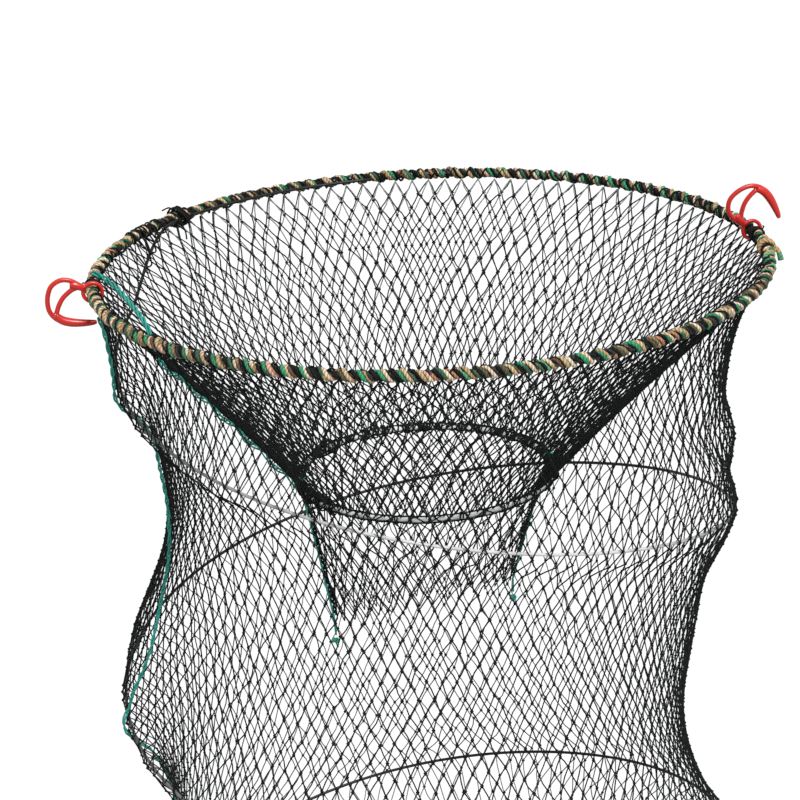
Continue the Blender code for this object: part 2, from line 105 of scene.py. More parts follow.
class Sum:
    """A shader socket that takes part in Python sums."""

    def __init__(self, nodes: "Nodes", socket: bpy.types.NodeSocket) -> None:
        """Wrap one output socket of a material's nodes."""
        self.nodes = nodes
        self.socket = socket

    def _math(self, operation: str, *values: Number) -> "Sum":
        """A Math node on these values."""
        return self.nodes.node("ShaderNodeMath", {"operation": operation}, dict(enumerate(values)))

    def __add__(self, other: Number) -> "Sum":
        """self + other."""
        return self._math("ADD", self, other)

    __radd__ = __add__

    def __mul__(self, other: Number) -> "Sum":
        """self * other."""
        return self._math("MULTIPLY", self, other)

    __rmul__ = __mul__

    def __sub__(self, other: Number) -> "Sum":
        """self - other."""
        return self._math("SUBTRACT", self, other)

    def __rsub__(self, other: Number) -> "Sum":
        """other - self."""
        return self._math("SUBTRACT", other, self)

    def __pow__(self, other: Number) -> "Sum":
        """self to the power of other."""
        return self._math("POWER", self, other)

    def sine(self) -> "Sum":
        """The sine of this value."""
        return self._math("SINE", self)

    def floor(self) -> "Sum":
        """This value's whole part."""
        return self._math("FLOOR", self)


class Nodes:
    """The nodes of one Principled material."""

    def __init__(self, name: str) -> None:
        """Start a material with its shader.

        Args:
            name: its name.
        """
        self.material = bpy.data.materials.new(name)
        self.material.use_nodes = True
        self.tree = self.material.node_tree
        self.shader = self.tree.nodes["Principled BSDF"]

    def node(self, kind: str, settings: Optional[dict] = None, inputs: Optional[dict] = None,
             output: Union[int, str] = 0) -> Sum:
        """Add a node.

        Args:
            kind: the node's type name.
            settings: its own settings.
            inputs: the values or links of its sockets, by name or place.
            output: the socket that is handed back.

        Returns:
            The chosen output.
        """
        made = self.tree.nodes.new(kind)
        for key, value in (settings or {}).items():
            setattr(made, key, value)
        for key, value in (inputs or {}).items():
            self._fill(made.inputs[key], value)
        return Sum(self, made.outputs[output])

    def _fill(self, socket: bpy.types.NodeSocket, value: object) -> None:
        """Link a socket or set its value; a colour comes without its alpha.

        Args:
            socket: the socket.
            value: a link or a value.
        """
        if isinstance(value, Sum):
            self.tree.links.new(value.socket, socket)
        else:
            socket.default_value = (*value, 1.0) if isinstance(value, tuple) else value

    def attribute(self, name: str) -> Sum:
        """A number stored on the mesh."""
        return self.node("ShaderNodeAttribute", {"attribute_name": name}, output="Fac")

    def crown(self, plies: float = 1.0) -> Sum:
        """A number that is 1 on the crowns of a cord's plies and 0 in the lay between them."""
        return (self.attribute("lay") * (2 * math.pi * plies)).sine() * 0.5 + 0.5

    def noise(self, scale: float, detail: float = 2.0) -> Sum:
        """Noise over the object's own space.

        Args:
            scale: how fine it is.
            detail: how many octaves it has.

        Returns:
            The noise, from 0 to 1.
        """
        place = self.node("ShaderNodeTexCoord", output="Object")
        inputs = {"Vector": place, "Scale": scale, "Detail": detail}
        return self.node("ShaderNodeTexNoise", inputs=inputs)

    def mix(self, factor: Number, low: Union[Colour, Sum], high: Union[Colour, Sum]) -> Sum:
        """A colour between two colours."""
        return self.node("ShaderNodeMix", {"data_type": "RGBA"}, {"Factor": factor, 6: low, 7: high}, 2)

    def palette(self, factor: Number, colours: Sequence[Colour]) -> Sum:
        """Pick one of several colours.

        Args:
            factor: picks the colour, each of which has an equal share of the range from 0 to 1.
            colours: the colours.

        Returns:
            The colour.
        """
        found = self.node("ShaderNodeValToRGB", inputs={"Fac": factor})
        ramp = found.socket.node.color_ramp
        while len(ramp.elements) < len(colours):
            ramp.elements.new(1.0)
        for i, (element, colour) in enumerate(zip(ramp.elements, colours)):
            element.position = i / len(colours)
            element.color = (*colour, 1.0)
        ramp.interpolation = "CONSTANT"
        return found

    def level(self, factor: Number, low: float, high: float) -> Sum:
        """A number between low and high as the factor goes from 0 to 1."""
        limits = {"From Min": 0.0, "From Max": 1.0, "To Min": low, "To Max": high}
        return self.node("ShaderNodeMapRange", inputs={"Value": factor, **limits})

    def finish(self, colour: Union[Colour, Sum], roughness: Number, height: Optional[Sum] = None,
               depth: float = 0.0003, **fixed: float) -> bpy.types.Material:
        """Fill the shader.

        Args:
            colour: the base colour, a value or a link.
            roughness: the roughness, a value or a link.
            height: a bump height, where there is one.
            depth: how deep the bump is, in metres.
            fixed: other sockets with one value all over, with spaces as underscores.

        Returns:
            The material.
        """
        inputs = {"Base Color": colour, "Roughness": roughness}
        if height is not None:
            bump = {"Height": height, "Distance": depth, "Strength": 1.0}
            inputs["Normal"] = self.node("ShaderNodeBump", inputs=bump)
        inputs.update({key.replace("_", " "): value for key, value in fixed.items()})
        for key, value in inputs.items():
            self._fill(self.shader.inputs[key], value)
        return self.material


@dataclass(frozen=True)
class CordFinish:
    """A laid cord of one colour family: lighter on its crowns and darker in its lay between them, which
    is painted shade, and dark in its worn patches.
    """

    name: str
    light: Colour
    dark: Colour
    patches: float = 60.0
    fibres: float = 25.0
    plies: float = 2.0
    gloss: float = 0.35

    def material(self) -> bpy.types.Material:
        """Make the material from the lay that the mesh stores.

        Returns:
            The material.
        """
        nodes = Nodes(self.name)
        crown = nodes.crown(self.plies)
        worn = nodes.level(nodes.noise(self.patches, 3.0), -0.35, 1.35)
        fibre = nodes.noise(self.patches * self.fibres)
        # Painted shade: the lay between the plies is mixed towards the dark colour and the crowns towards
        # the light one.
        colour = nodes.mix(crown * 0.5 + worn * 0.5, self.dark, self.light)
        return nodes.finish(colour, nodes.level(fibre, 0.6, 0.95), crown + fibre * 0.5,
                            Specular_IOR_Level=self.gloss)


@dataclass(frozen=True)
class CamouflageFinish:
    """A dyed cord whose colour changes every centimetre or two along its length."""

    name: str
    colours: tuple[Colour, ...]
    start: float = 0.0
    patch: float = 0.016
    plies: float = 2.0
    lay_shade: Colour = (0.004, 0.004, 0.003)

    def material(self) -> bpy.types.Material:
        """Make the material from the lay and the place along the cord that the mesh stores.

        Returns:
            The material.
        """
        nodes = Nodes(self.name)
        place = nodes.attribute("along") * (1.0 / self.patch) + self.start
        fray = nodes.noise(1100.0, 1.0)
        cell = (place + fray * 0.35).floor()
        dye = nodes.node("ShaderNodeTexWhiteNoise", {"noise_dimensions": "1D"}, {"W": cell})
        crown = nodes.crown(self.plies)
        fibre = nodes.noise(2200.0)
        dyed = nodes.palette(dye, self.colours)
        colour = nodes.mix(crown * 0.6 + fibre * 0.5 + 0.15, self.lay_shade, dyed)
        return nodes.finish(colour, nodes.level(fibre, 0.5, 0.85), crown + fibre * 0.4,
                            Specular_IOR_Level=0.3)


@dataclass(frozen=True)
class TwineFinish:
    """Fine knotted twine of the netting, near black with a green cast in random patches and on the crowns
    of its plies, where it is painted light.
    """

    name: str
    light: Colour
    dark: Colour
    # The pale colour of painted light on the side of the twine towards the trap's axis.
    painted_light: Optional[Colour] = None

    def material(self) -> bpy.types.Material:
        """Make the material; where a pale colour is given, the side towards the trap's axis is painted
        paler with it, unevenly, as painted light.

        Returns:
            The material.
        """
        nodes = Nodes(self.name)
        broad, fine, crown = nodes.noise(14.0), nodes.noise(900.0), nodes.crown()
        # Painted light: the crowns of the plies lean towards the light colour and the lay towards the
        # dark one, among random patches.
        colour = nodes.mix(broad * 0.5 + crown * 0.3 + fine * 0.2, self.dark, self.light)
        if self.painted_light:
            # Painted light: the side towards the trap's axis is mixed towards the pale colour, unevenly
            # with the fine noise.
            patches_and_painted_light = (nodes.attribute("inward") - 0.4) * (fine + 1.0)
            colour = nodes.mix(patches_and_painted_light, colour, self.painted_light)
        return nodes.finish(colour, nodes.level(fine, 0.65, 0.95), crown + fine * 0.3,
                            Specular_IOR_Level=0.12)


@dataclass(frozen=True)
class WireFinish:
    """Coated or bare wire with scuffs; on wire that is wound, the pale scuffs are kept to one side of
    each turn and brightened, as painted light.
    """

    name: str
    light: Colour
    dark: Colour
    rough: float
    metal: float = 0.0
    turn: float = 0.0
    painted_light: float = 0.0
    gloss: float = 0.5

    def material(self) -> bpy.types.Material:
        """Make the material; turn is the wire's length in a turn, and the palest place in each is painted
        light.

        Returns:
            The material.
        """
        nodes = Nodes(self.name)
        scuff = nodes.noise(120.0, 6.0)
        patches_and_painted_light = scuff * 0.6 + nodes.noise(18.0) * 0.4
        # Painted light: on wound wire, only one side of each turn keeps the pale scuffs, and they are
        # brightened there.
        if self.turn:
            place = (nodes.attribute("along") * (1.0 / self.turn) - self.painted_light) * (2 * math.pi)
            side = (place + math.pi / 2).sine() * 0.5 + 0.5
            patches_and_painted_light = patches_and_painted_light * (side ** 4.0) * 1.9
        colour = nodes.mix(patches_and_painted_light, self.dark, self.light)
        return nodes.finish(colour, nodes.level(scuff, self.rough - 0.12, self.rough + 0.15), scuff,
                            depth=0.0001, Metallic=self.metal, Specular_IOR_Level=self.gloss)


@dataclass(frozen=True)
class PlasticFinish:
    """Glossy moulded plastic with a faint flow texture."""

    name: str
    light: Colour
    dark: Colour

    def material(self) -> bpy.types.Material:
        """Make the material.

        Returns:
            The material.
        """
        nodes = Nodes(self.name)
        grain = nodes.noise(1500.0)
        colour = nodes.mix(nodes.noise(60.0, 3.0), self.dark, self.light)
        return nodes.finish(colour, nodes.level(grain, 0.26, 0.40), grain, depth=0.00003,
                            Specular_IOR_Level=0.3, Coat_Weight=0.06, Coat_Roughness=0.12)


# Places shared with the solids

def stacked(*values: Array) -> Array:
    """Arrays side by side on a new last axis."""
    return np.stack(np.broadcast_arrays(*values), -1)


def smooth(share: Array) -> Array:
    """Ease from 0 to 1."""
    share = np.clip(share, 0.0, 1.0)
    return share * share * (3 - 2 * share)


def unit(vectors: Array) -> Array:
    """Vectors of length 1."""
    return vectors / np.maximum(np.linalg.norm(vectors, axis=-1, keepdims=True), 1e-12)


def tangents(paths: Array, closed: bool) -> Array:
    """Directions along paths.

    Args:
        paths: points, as strand, point, xyz.
        closed: whether each path joins its own start.

    Returns:
        Unit vectors of the same shape.
    """
    if closed:
        return unit(np.roll(paths, -1, 1) - np.roll(paths, 1, 1))
    before, after = 2 * paths[:, :1] - paths[:, 1:2], 2 * paths[:, -1:] - paths[:, -2:-1]
    padded = np.concatenate([before, paths, after], 1)
    return unit(padded[:, 2:] - padded[:, :-2])


def curve_through(points: Sequence[Sequence[float]], steps: int) -> Array:
    """Points on a smooth curve.

    Args:
        points: the points that it goes through.
        steps: how many steps there are to each span.

    Returns:
        The curve's points, the last given one among them.
    """
    given = np.asarray(points, float)
    ends = np.vstack([2 * given[0] - given[1], given, 2 * given[-1] - given[-2]])
    path = []
    for before, start, stop, after in zip(ends, ends[1:], ends[2:], ends[3:]):
        for step in range(steps):
            t = step / steps
            path.append(0.5 * (2 * start + (stop - before) * t
                               + (2 * before - 5 * start + 4 * stop - after) * t ** 2
                               + (3 * start - before - 3 * stop + after) * t ** 3))
    return np.array(path + [given[-1]])


@dataclass(frozen=True)
class TrapForm:
    """Sizes and places of the trap's frame and nets, in metres and degrees.

    A swell of the outer net is its bearing, its drop, how far it stands out, its half width and its
    half height.
    """

    z_top: float
    z_bottom: float
    hoop_radius: float = 0.220
    rim_out: float = 0.00456
    gap: float = 0.0003
    sway: float = 0.017
    sway_bearing: float = 225.0
    coil_radius: float = 0.206
    coil_wire: float = 0.0026
    coil_turns: float = 3.475
    coil_lead: float = 0.030
    coil_lean: float = 0.003
    coil_lean_bearing: float = 225.0
    coil_leaves: float = 190.0
    coil_blend: float = 0.06
    ring_radius: float = 0.085
    ring_drop: float = 0.1458
    tip_drop: float = 0.254
    funnel_under_rim: tuple[float, float] = (0.0020, 0.0004)
    funnel_on_ring: tuple[float, float] = (0.0015, -0.0018)
    funnel_drawn_in: float = 0.003
    gather: float = 5.0
    gather_late: float = 6.0
    throat_hang: float = 0.0015
    throat_foot: float = 0.240
    throat_round: float = 0.35
    throat_ease: float = 0.85
    throat_bearing: float = 55.0
    slit_length: float = 0.133
    slit_width: float = 0.016
    slit_bearing: float = 70.0
    net_outside_hoop: float = 0.0015
    net_under_rim: float = 0.001
    net_over_coil: float = 0.0011
    ridge: float = 0.022
    waist: float = 0.0355
    waist_high: float = 0.85
    waist_flat: float = 2.5
    waist_span: float = 0.24
    swells: tuple[tuple[float, float, float, float, float], ...] = (
        (38.0, 0.117, 0.008, 40.0, 0.018), (36.0, 0.240, 0.011, 55.0, 0.062),
        (30.0, 0.188, 0.006, 40.0, 0.022), (225.0, 0.245, 0.009, 50.0, 0.050),
        (232.0, 0.118, 0.002, 35.0, 0.020))

    @staticmethod
    def polar(radius: Array, bearing: Array, height: Array) -> Array:
        """Points at bearings round the axis."""
        angle = np.radians(bearing)
        return stacked(radius * np.cos(angle), radius * np.sin(angle), height)

    def level(self, end: End, drop: Array) -> Array:
        """Height of a drop from an end's hoop."""
        return self.z_top - drop if end is End.TOP else self.z_bottom + drop

    def by_hoop(self, end: End, bearing: Array, outward: Array, upward: Array) -> Array:
        """Points beside the middle of an end's hoop."""
        return self.polar(self.hoop_radius + outward, bearing, self.level(end, 0.0) + upward)

    def swayed(self, points: Array) -> Array:
        """Points moved with the slack middle of the trap."""
        share = np.clip((self.z_top - points[..., 2]) / (self.z_top - self.z_bottom), 0.0, 1.0)
        return points + self.polar(self.sway * np.sin(np.pi * share), self.sway_bearing, 0.0 * share)

    def coil(self, turn: Array) -> tuple[Array, Array, Array]:
        """The coil before the sway.

        Args:
            turn: turns from where the wire leaves the upper rim; before that it lies on this rim, and
                after the last turn on the lower one.

        Returns:
            The coil's radius, bearing and height there.
        """
        pitch = (self.z_top - self.z_bottom - 2 * self.coil_lead) / self.coil_turns
        bearing = self.coil_leaves + 360.0 * turn
        share = smooth(turn / self.coil_blend) * smooth((self.coil_turns - turn) / self.coil_blend)
        height = self.z_top - self.coil_lead - pitch * turn
        height = height + self.coil_lean * np.cos(np.radians(bearing - self.coil_lean_bearing))
        rim = np.where(turn < self.coil_turns / 2, self.z_top, self.z_bottom)
        beside = self.hoop_radius - self.rim_out - self.gap - self.coil_wire / 2
        return beside + (self.coil_radius - beside) * share, bearing, rim + (height - rim) * share

    def funnel(self, end: End, bearing: Array, share: Array, out: float = 0.0) -> Array:
        """The funnel's face, with its columns drawn towards the ring's two knots.

        Args:
            end: which funnel.
            bearing: bearings at the rim.
            share: 0 at the rim and 1 at the entry ring.
            out: distance from the net's middle.

        Returns:
            Points.
        """
        start = np.array([self.hoop_radius, self.rim_out]) - self.funnel_under_rim
        stop = np.array([self.ring_radius, self.ring_drop]) + self.funnel_on_ring
        slope = (stop - start) / np.linalg.norm(stop - start)
        lift = out - self.funnel_drawn_in * 4 * share * (1 - share)
        drawn = self.gather * share ** self.gather_late
        bearing = bearing - drawn * np.sin(np.radians(2 * (bearing - self.throat_bearing)))
        radius = start[0] + (stop[0] - start[0]) * share + slope[1] * lift
        drop = start[1] + (stop[1] - start[1]) * share - slope[0] * lift
        return self.swayed(self.polar(radius, bearing, self.level(end, drop)))

    def throat(self, end: End, turn: Array, share: Array, out: float = 0.0) -> Array:
        """The throat's face, round at the entry ring and flat at its foot.

        Args:
            end: which throat.
            turn: degrees round it from its right edge.
            share: 0 at the ring and 1 at the foot.
            out: distance from the net's middle.

        Returns:
            Points.
        """
        ring = self.polar(self.ring_radius + out, self.throat_bearing + turn, 0.0)
        half = (np.asarray(turn) % 360.0) / 180.0
        side = np.where(half < 1.0, 1.0, -1.0)
        even = (1.0 - 2.0 * (half % 1.0)) * side
        cosine = np.cos(np.radians(turn)) * self.throat_round + even * (1.0 - self.throat_round)
        sine = np.sqrt(np.maximum(1.0 - cosine ** 2, 0.0)) * side
        long = cosine * (self.slit_length / 2 + out)
        wide = sine * (self.slit_width / 2 + out)
        c, s = math.cos(math.radians(self.slit_bearing)), math.sin(math.radians(self.slit_bearing))
        slit = stacked(long * c - wide * s, long * s + wide * c, 0.0)
        points = ring + (slit - ring) * (np.asarray(share) ** self.throat_ease)[..., None]
        start = self.ring_drop + self.throat_hang
        points[..., 2] = self.level(end, start + (self.throat_foot - start) * np.asarray(share))
        return self.swayed(points)

    def holds(self, bearing: Array, height: Array) -> tuple[list[Array], list[Array]]:
        """What the outer net lies on, from the upper rim over the coil's passes to the lower rim.

        Args:
            bearing: bearings round the trap.
            height: heights of the net, which only give the result its shape.

        Returns:
            The heights of these holds, and the net's radii there.
        """
        rim = np.full_like(height, self.hoop_radius + self.net_outside_hoop)
        levels, radii = [np.full_like(height, self.z_top)], [rim]
        for lap in range(int(self.coil_turns) + 1):
            turn = ((bearing - self.coil_leaves) % 360.0) / 360.0 + lap
            radius, _, place = self.coil(np.minimum(turn, self.coil_turns))
            on = turn <= self.coil_turns
            levels.append(np.where(on, place, self.z_bottom))
            radii.append(np.where(on, radius + self.coil_wire / 2 + self.net_over_coil, rim))
        return levels + [np.full_like(height, self.z_bottom)], radii + [rim]

    def outer(self, bearing: Array, share: Array) -> Array:
        """The outer net's face: it hugs each pass of the coil and draws in between them.

        Args:
            bearing: bearings round the trap.
            share: 0 at the upper rim and 1 at the lower.

        Returns:
            Points.
        """
        hang = self.rim_out - self.net_under_rim
        height = self.z_top - hang - share * (self.z_top - self.z_bottom - 2 * hang)
        levels, radii = self.holds(bearing, height)
        out, near = radii[0], np.zeros_like(height)
        for upper, lower, top, foot in zip(levels, levels[1:], radii, radii[1:]):
            span = np.maximum(upper - lower, 1e-6)
            part = (upper - height) / span
            inside = (part >= 0.0) & (part <= 1.0)
            shape = 1.0 - np.abs(2 * np.clip(part, 0.0, 1.0) ** self.waist_high - 1.0) ** self.waist_flat
            waist = np.minimum(self.waist, self.waist * (span / self.waist_span) ** 1.8) * shape
            out = np.where(inside, top + (foot - top) * part - waist, out)
            near = np.where(inside, np.minimum(shape * 3.0, 1.0), near)
        for place, drop, reach, wide, tall in self.swells:
            off = (bearing - place + 180.0) % 360.0 - 180.0
            below = self.z_top - height - drop
            out = out + near * reach * np.exp(-(off / wide) ** 2 - (below / tall) ** 2)
        for upper, top in zip(levels[1:-1], radii[1:-1]):
            out = np.maximum(out, top - (height - upper) ** 2 / self.ridge)
        return self.swayed(self.polar(out, bearing, height))


# Meshes

class StrandMesh:
    """Gathers round strands and knots and makes them one mesh, with the lay stored on it."""

    def __init__(self) -> None:
        """Start empty."""
        self.parts: list[tuple[Array, ...]] = []
        self.count = 0

    def _add(self, points: Array, faces: Array, *stored: Array) -> None:
        """Keep points, the quads between them and the numbers at the quads' corners."""
        self.parts.append((points, faces + self.count, *(np.ravel(values) for values in stored)))
        self.count += len(points)

    def strands(self, paths: Array, facing: Array, radius: Size, sides: int,
                closed: bool = False, pitch: float = 0.004) -> None:
        """Add many strands of the same number of points.

        Args:
            paths: their centrelines, as strand, point, xyz.
            facing: directions across the strands, of the same shape.
            radius: one radius, or one for each point.
            sides: sides of the round section.
            closed: whether each strand joins its own start.
            pitch: length of one turn of the lay.
        """
        number, length = paths.shape[:2]
        tangent = tangents(paths, closed)
        across = unit(np.cross(tangent, facing))
        out = np.cross(across, tangent)
        angle = np.linspace(0, 2 * np.pi, sides, endpoint=False) + np.pi / 2
        size = np.broadcast_to(np.asarray(radius, float), (number, length))[..., None, None]
        ring = across[:, :, None] * np.cos(angle)[:, None] + out[:, :, None] * np.sin(angle)[:, None]
        points = (paths[:, :, None] + ring * size).reshape(-1, 3)
        steps = length if closed else length - 1
        strand = np.arange(number)[:, None, None] * length * sides
        at = np.arange(steps)[None, :, None]
        side = np.arange(sides)[None, None, :]
        here, there = strand + at * sides, strand + (at + 1) % length * sides
        beside = (side + 1) % sides
        quads = stacked(here + side, there + side, there + beside, here + beside)
        run = np.cumsum(np.linalg.norm(np.diff(paths, axis=1), axis=2), 1)
        run = np.concatenate([np.zeros((number, 1)), run], 1)
        if closed:
            last = np.linalg.norm(paths[:, :1] - paths[:, -1:], axis=2)
            run = np.concatenate([run, run[:, -1:] + last], 1)
        start, stop = run[:, :steps, None], run[:, 1:steps + 1, None]
        turn, ahead = side / sides, (side + 1) / sides
        lay = stacked(start / pitch + turn, stop / pitch + turn,
                      stop / pitch + ahead, start / pitch + ahead)
        along = np.broadcast_to(stacked(start, stop, stop, start), quads.shape)
        # How far each side of a bar faces the trap's axis; the outer net's finish paints that side pale
        # as painted light.
        inward = np.broadcast_to((0.5 - 0.5 * np.sin(angle + np.pi / sides))[:, None], quads.shape)
        self._add(points, quads.reshape(-1, 4), lay, along, inward)

    def cord(self, path: Array, radius: Size, sides: int = 6, closed: bool = False,
             pitch: float = 0.004) -> None:
        """Add one cord that follows its path without twisting, and whose free ends are drawn in.

        Args:
            path: its centreline.
            radius: one radius, or one for each point.
            sides: sides of the round section.
            closed: whether it joins its own start.
            pitch: length of one turn of the lay.
        """
        path = np.asarray(path, float)
        size = np.broadcast_to(np.asarray(radius, float), len(path))
        if not closed:
            first, last = path[1] - path[0], path[-2] - path[-1]
            path = np.vstack([path[0] + first * 0.02, path[0] + first * 0.1, path[1:-1],
                              path[-1] + last * 0.1, path[-1] + last * 0.02])
            size = np.concatenate([size[:1] * 0.15, size, size[-1:] * 0.15])
        tangent = tangents(path[None], closed)[0]
        facing = np.zeros_like(path)
        seed = np.eye(3)[np.argmin(np.abs(tangent[0]))]
        facing[0] = unit(seed - tangent[0] * seed.dot(tangent[0]))
        for i in range(1, len(path)):
            facing[i] = unit(facing[i - 1] - tangent[i] * facing[i - 1].dot(tangent[i]))
        self.strands(path[None], facing[None], size[None], sides, closed, pitch)

    def round(self, path: Array, centre: Array, radius: Size, sides: int = 5,
              pitch: float = 0.003) -> None:
        """Add one closed strand that is wound round a wire whose middle is given for each point."""
        self.strands(path[None], unit(path - centre)[None], radius, sides, True, pitch)

    def knots(self, centres: Array, facing: Array, tall: Array, size: Sequence[float]) -> None:
        """Add eight-sided lumps.

        Args:
            centres: their middles.
            facing: the way out of the net at each.
            tall: the way down the net at each.
            size: their half width, half height and half depth.
        """
        centres, facing, tall = (values.reshape(-1, 3) for values in (centres, facing, tall))
        across = unit(np.cross(tall, facing))
        tall, out = unit(tall), unit(facing)
        w, h, d = size
        shape = [across * w, tall * h, -across * w, -tall * h, out * d, -out * d]
        points = np.stack([centres + step for step in shape], 1).reshape(-1, 3)
        quads = np.array([[0, 1, 4, 4], [1, 2, 4, 4], [2, 3, 4, 4], [3, 0, 4, 4],
                          [1, 0, 5, 5], [2, 1, 5, 5], [3, 2, 5, 5], [0, 3, 5, 5]])
        faces = (quads[None] + 6 * np.arange(len(centres))[:, None, None]).reshape(-1, 4)
        self._add(points, faces, *[np.zeros(faces.size)] * 3)

    def make(self, name: str, material: bpy.types.Material) -> bpy.types.Object:
        """Turn what was gathered into an object.

        Args:
            name: the object's name.
            material: its finish.

        Returns:
            The object, linked to the scene.
        """
        points, faces, *stored = (np.concatenate(values) for values in zip(*self.parts))
        keep = np.ones(faces.shape, bool)
        keep[faces[:, 2] == faces[:, 3], 3] = False
        starts = np.concatenate([[0], np.cumsum(keep.sum(1))[:-1]])
        mesh = bpy.data.meshes.new(name)
        mesh.vertices.add(len(points))
        mesh.vertices.foreach_set("co", points.astype(np.float32).ravel())
        mesh.loops.add(int(keep.sum()))
        mesh.loops.foreach_set("vertex_index", faces[keep].astype(np.int32))
        mesh.polygons.add(len(faces))
        mesh.polygons.foreach_set("loop_start", starts.astype(np.int32))
        mesh.update(calc_edges=True)
        for label, values in zip(("lay", "along", "inward"), stored):
            attribute = mesh.attributes.new(label, "FLOAT", "CORNER")
            attribute.data.foreach_set("value", values.reshape(-1, 4)[keep].astype(np.float32))
        mesh.shade_smooth()
        mesh.materials.append(material)
        made = bpy.data.objects.new(name, mesh)
        bpy.context.scene.collection.objects.link(made)
        return made


def seat(piece: bpy.types.Object, body: str, slot: str, *nodes: str) -> bpy.types.Object:
    """Hang a piece on a body and report it.

    Args:
        piece: the piece.
        body: the body that it moves with.
        slot: the material slot of the record; not used.
        nodes: the solids that it stands for.

    Returns:
        The piece.
    """
    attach(piece, body)
    if nodes:
        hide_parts(*nodes)
    LOG.info("%s rides on %s, %d faces", piece.name, body, len(piece.data.polygons))
    return piece


def dress(node: str, material: bpy.types.Material) -> None:
    """Give a solid that stays in view a finish.

    Args:
        node: its name.
        material: the finish.
    """
    solid = frame["nodes"][node]
    solid.data.materials.clear()
    solid.data.materials.append(material)
    solid.data.shade_smooth()
    LOG.info("%s keeps its solid", node)


def squash(piece: bpy.types.Object, anchor: float, keep: float) -> None:
    """Give a soft piece a mesh of its own."""
    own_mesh(piece)


def folded_share(joint: str, height: float) -> float:
    """What is left of a height when a slide has gone through its range."""
    found = next(j for j in frame["record"]["behaviour"]["joints"] if j["name"] == joint)
    return (height - max(abs(limit) for limit in found["range_m"])) / height


def squash_funnel(piece: bpy.types.Object, form: TrapForm, end: End) -> None:
    """Give a piece of a funnel a mesh of its own, through squash with its rim's height and its ring's
    travel.
    """
    joint = f"{end.value}_ring_travel"
    squash(piece, float(form.level(end, 0.0)), folded_share(joint, form.ring_drop))


def squash_throat(piece: bpy.types.Object, form: TrapForm, end: End) -> None:
    """Give a piece of a throat a mesh of its own, through squash with its ring's height and its tip's
    travel.
    """
    joint, drop = f"{end.value}_tip_travel", form.ring_drop
    squash(piece, float(form.level(end, drop)), folded_share(joint, form.tip_drop - drop))


class FinishSet:
    """Every finish of the trap, made once."""

    def __init__(self) -> None:
        """Make the materials."""
        twine = ((0.0035, 0.0055, 0.005), (0.0006, 0.001, 0.0009))
        self.netting = TwineFinish("netting_twine", *twine).material()
        # The outer net's third colour is painted light on the side of its twine towards the trap's axis.
        self.outer_netting = TwineFinish("outer_netting_twine", *twine, (0.15, 0.165, 0.16)).material()
        self.black = CordFinish("black_binding_twine", (0.007, 0.0068, 0.0065), (0.0006, 0.0006, 0.0006),
                                gloss=0.12).material()
        self.teal = CordFinish("teal_seam_cord", (0.012, 0.26, 0.205), (0.003, 0.085, 0.07)).material()
        self.tan = CordFinish("tan_knot_rope", (0.42, 0.27, 0.12), (0.10, 0.05, 0.018),
                              240.0).material()
        self.tip = CordFinish("green_rope_tip", (0.07, 0.24, 0.11), (0.012, 0.07, 0.03),
                              240.0).material()
        # The coil's pale colour is painted light, kept to one side of each turn and palest at 0.53 of a
        # turn.
        self.coil = WireFinish("coated_coil_wire", (0.33, 0.335, 0.33), (0.0030, 0.0034, 0.0034), 0.40,
                               turn=1.294, painted_light=0.53, gloss=0.2).material()
        self.ring = WireFinish("bright_ring_wire", (0.72, 0.73, 0.73), (0.26, 0.265, 0.265),
                               0.28, 0.4).material()
        self.hoop = WireFinish("coated_hoop_wire", (0.010, 0.011, 0.011), (0.002, 0.0022, 0.0022),
                               0.30).material()
        self.red = PlasticFinish("red_hook_plastic", (0.37, 0.011, 0.006),
                                 (0.23, 0.004, 0.002)).material()
        self.green_strand = CamouflageFinish("green_camouflage_strand", (
            (0.012, 0.17, 0.075), (0.010, 0.20, 0.085), (0.008, 0.06, 0.03), (0.05, 0.24, 0.11),
            (0.05, 0.045, 0.018), (0.34, 0.25, 0.13), (0.006, 0.12, 0.05))).material()
        self.brown_strand = CamouflageFinish("brown_camouflage_strand", (
            (0.006, 0.005, 0.004), (0.30, 0.14, 0.075), (0.07, 0.035, 0.016), (0.010, 0.008, 0.006),
            (0.03, 0.07, 0.03), (0.20, 0.12, 0.055)), 7.3).material()
        self.cream_strand = CamouflageFinish("cream_camouflage_strand", (
            (0.30, 0.20, 0.095), (0.48, 0.37, 0.25), (0.44, 0.26, 0.18), (0.52, 0.43, 0.31),
            (0.40, 0.28, 0.15), (0.16, 0.11, 0.05)), 3.1).material()


# Sub-assemblies

def ripple(random: np.random.Generator, along: Array, waves: Sequence[float], size: float) -> Array:
    """A sum of sine waves of random heights and starts."""
    return sum(random.normal(0.0, size) * np.sin(wave * along + 6 * random.random()) for wave in waves)


@dataclass
class Assembly:
    """A part of the trap, made from the places and the finishes that all parts share."""

    form: TrapForm
    finish: FinishSet


@dataclass(frozen=True)
class Winding:
    """One endless strand wound round a rim.

    The finish is its name in the finish set. The shift is a share of a loop, and the reach goes from
    the hoop's middle to the strand's. Loops are negative for a left-hand winding, and inner is how much
    further off the strand stands on the side towards the trap's axis.
    """

    label: str
    finish: str
    slot: str
    shift: float
    reach: float
    thick: float
    seed: int
    loops: int = 116
    inner: float = 0.0


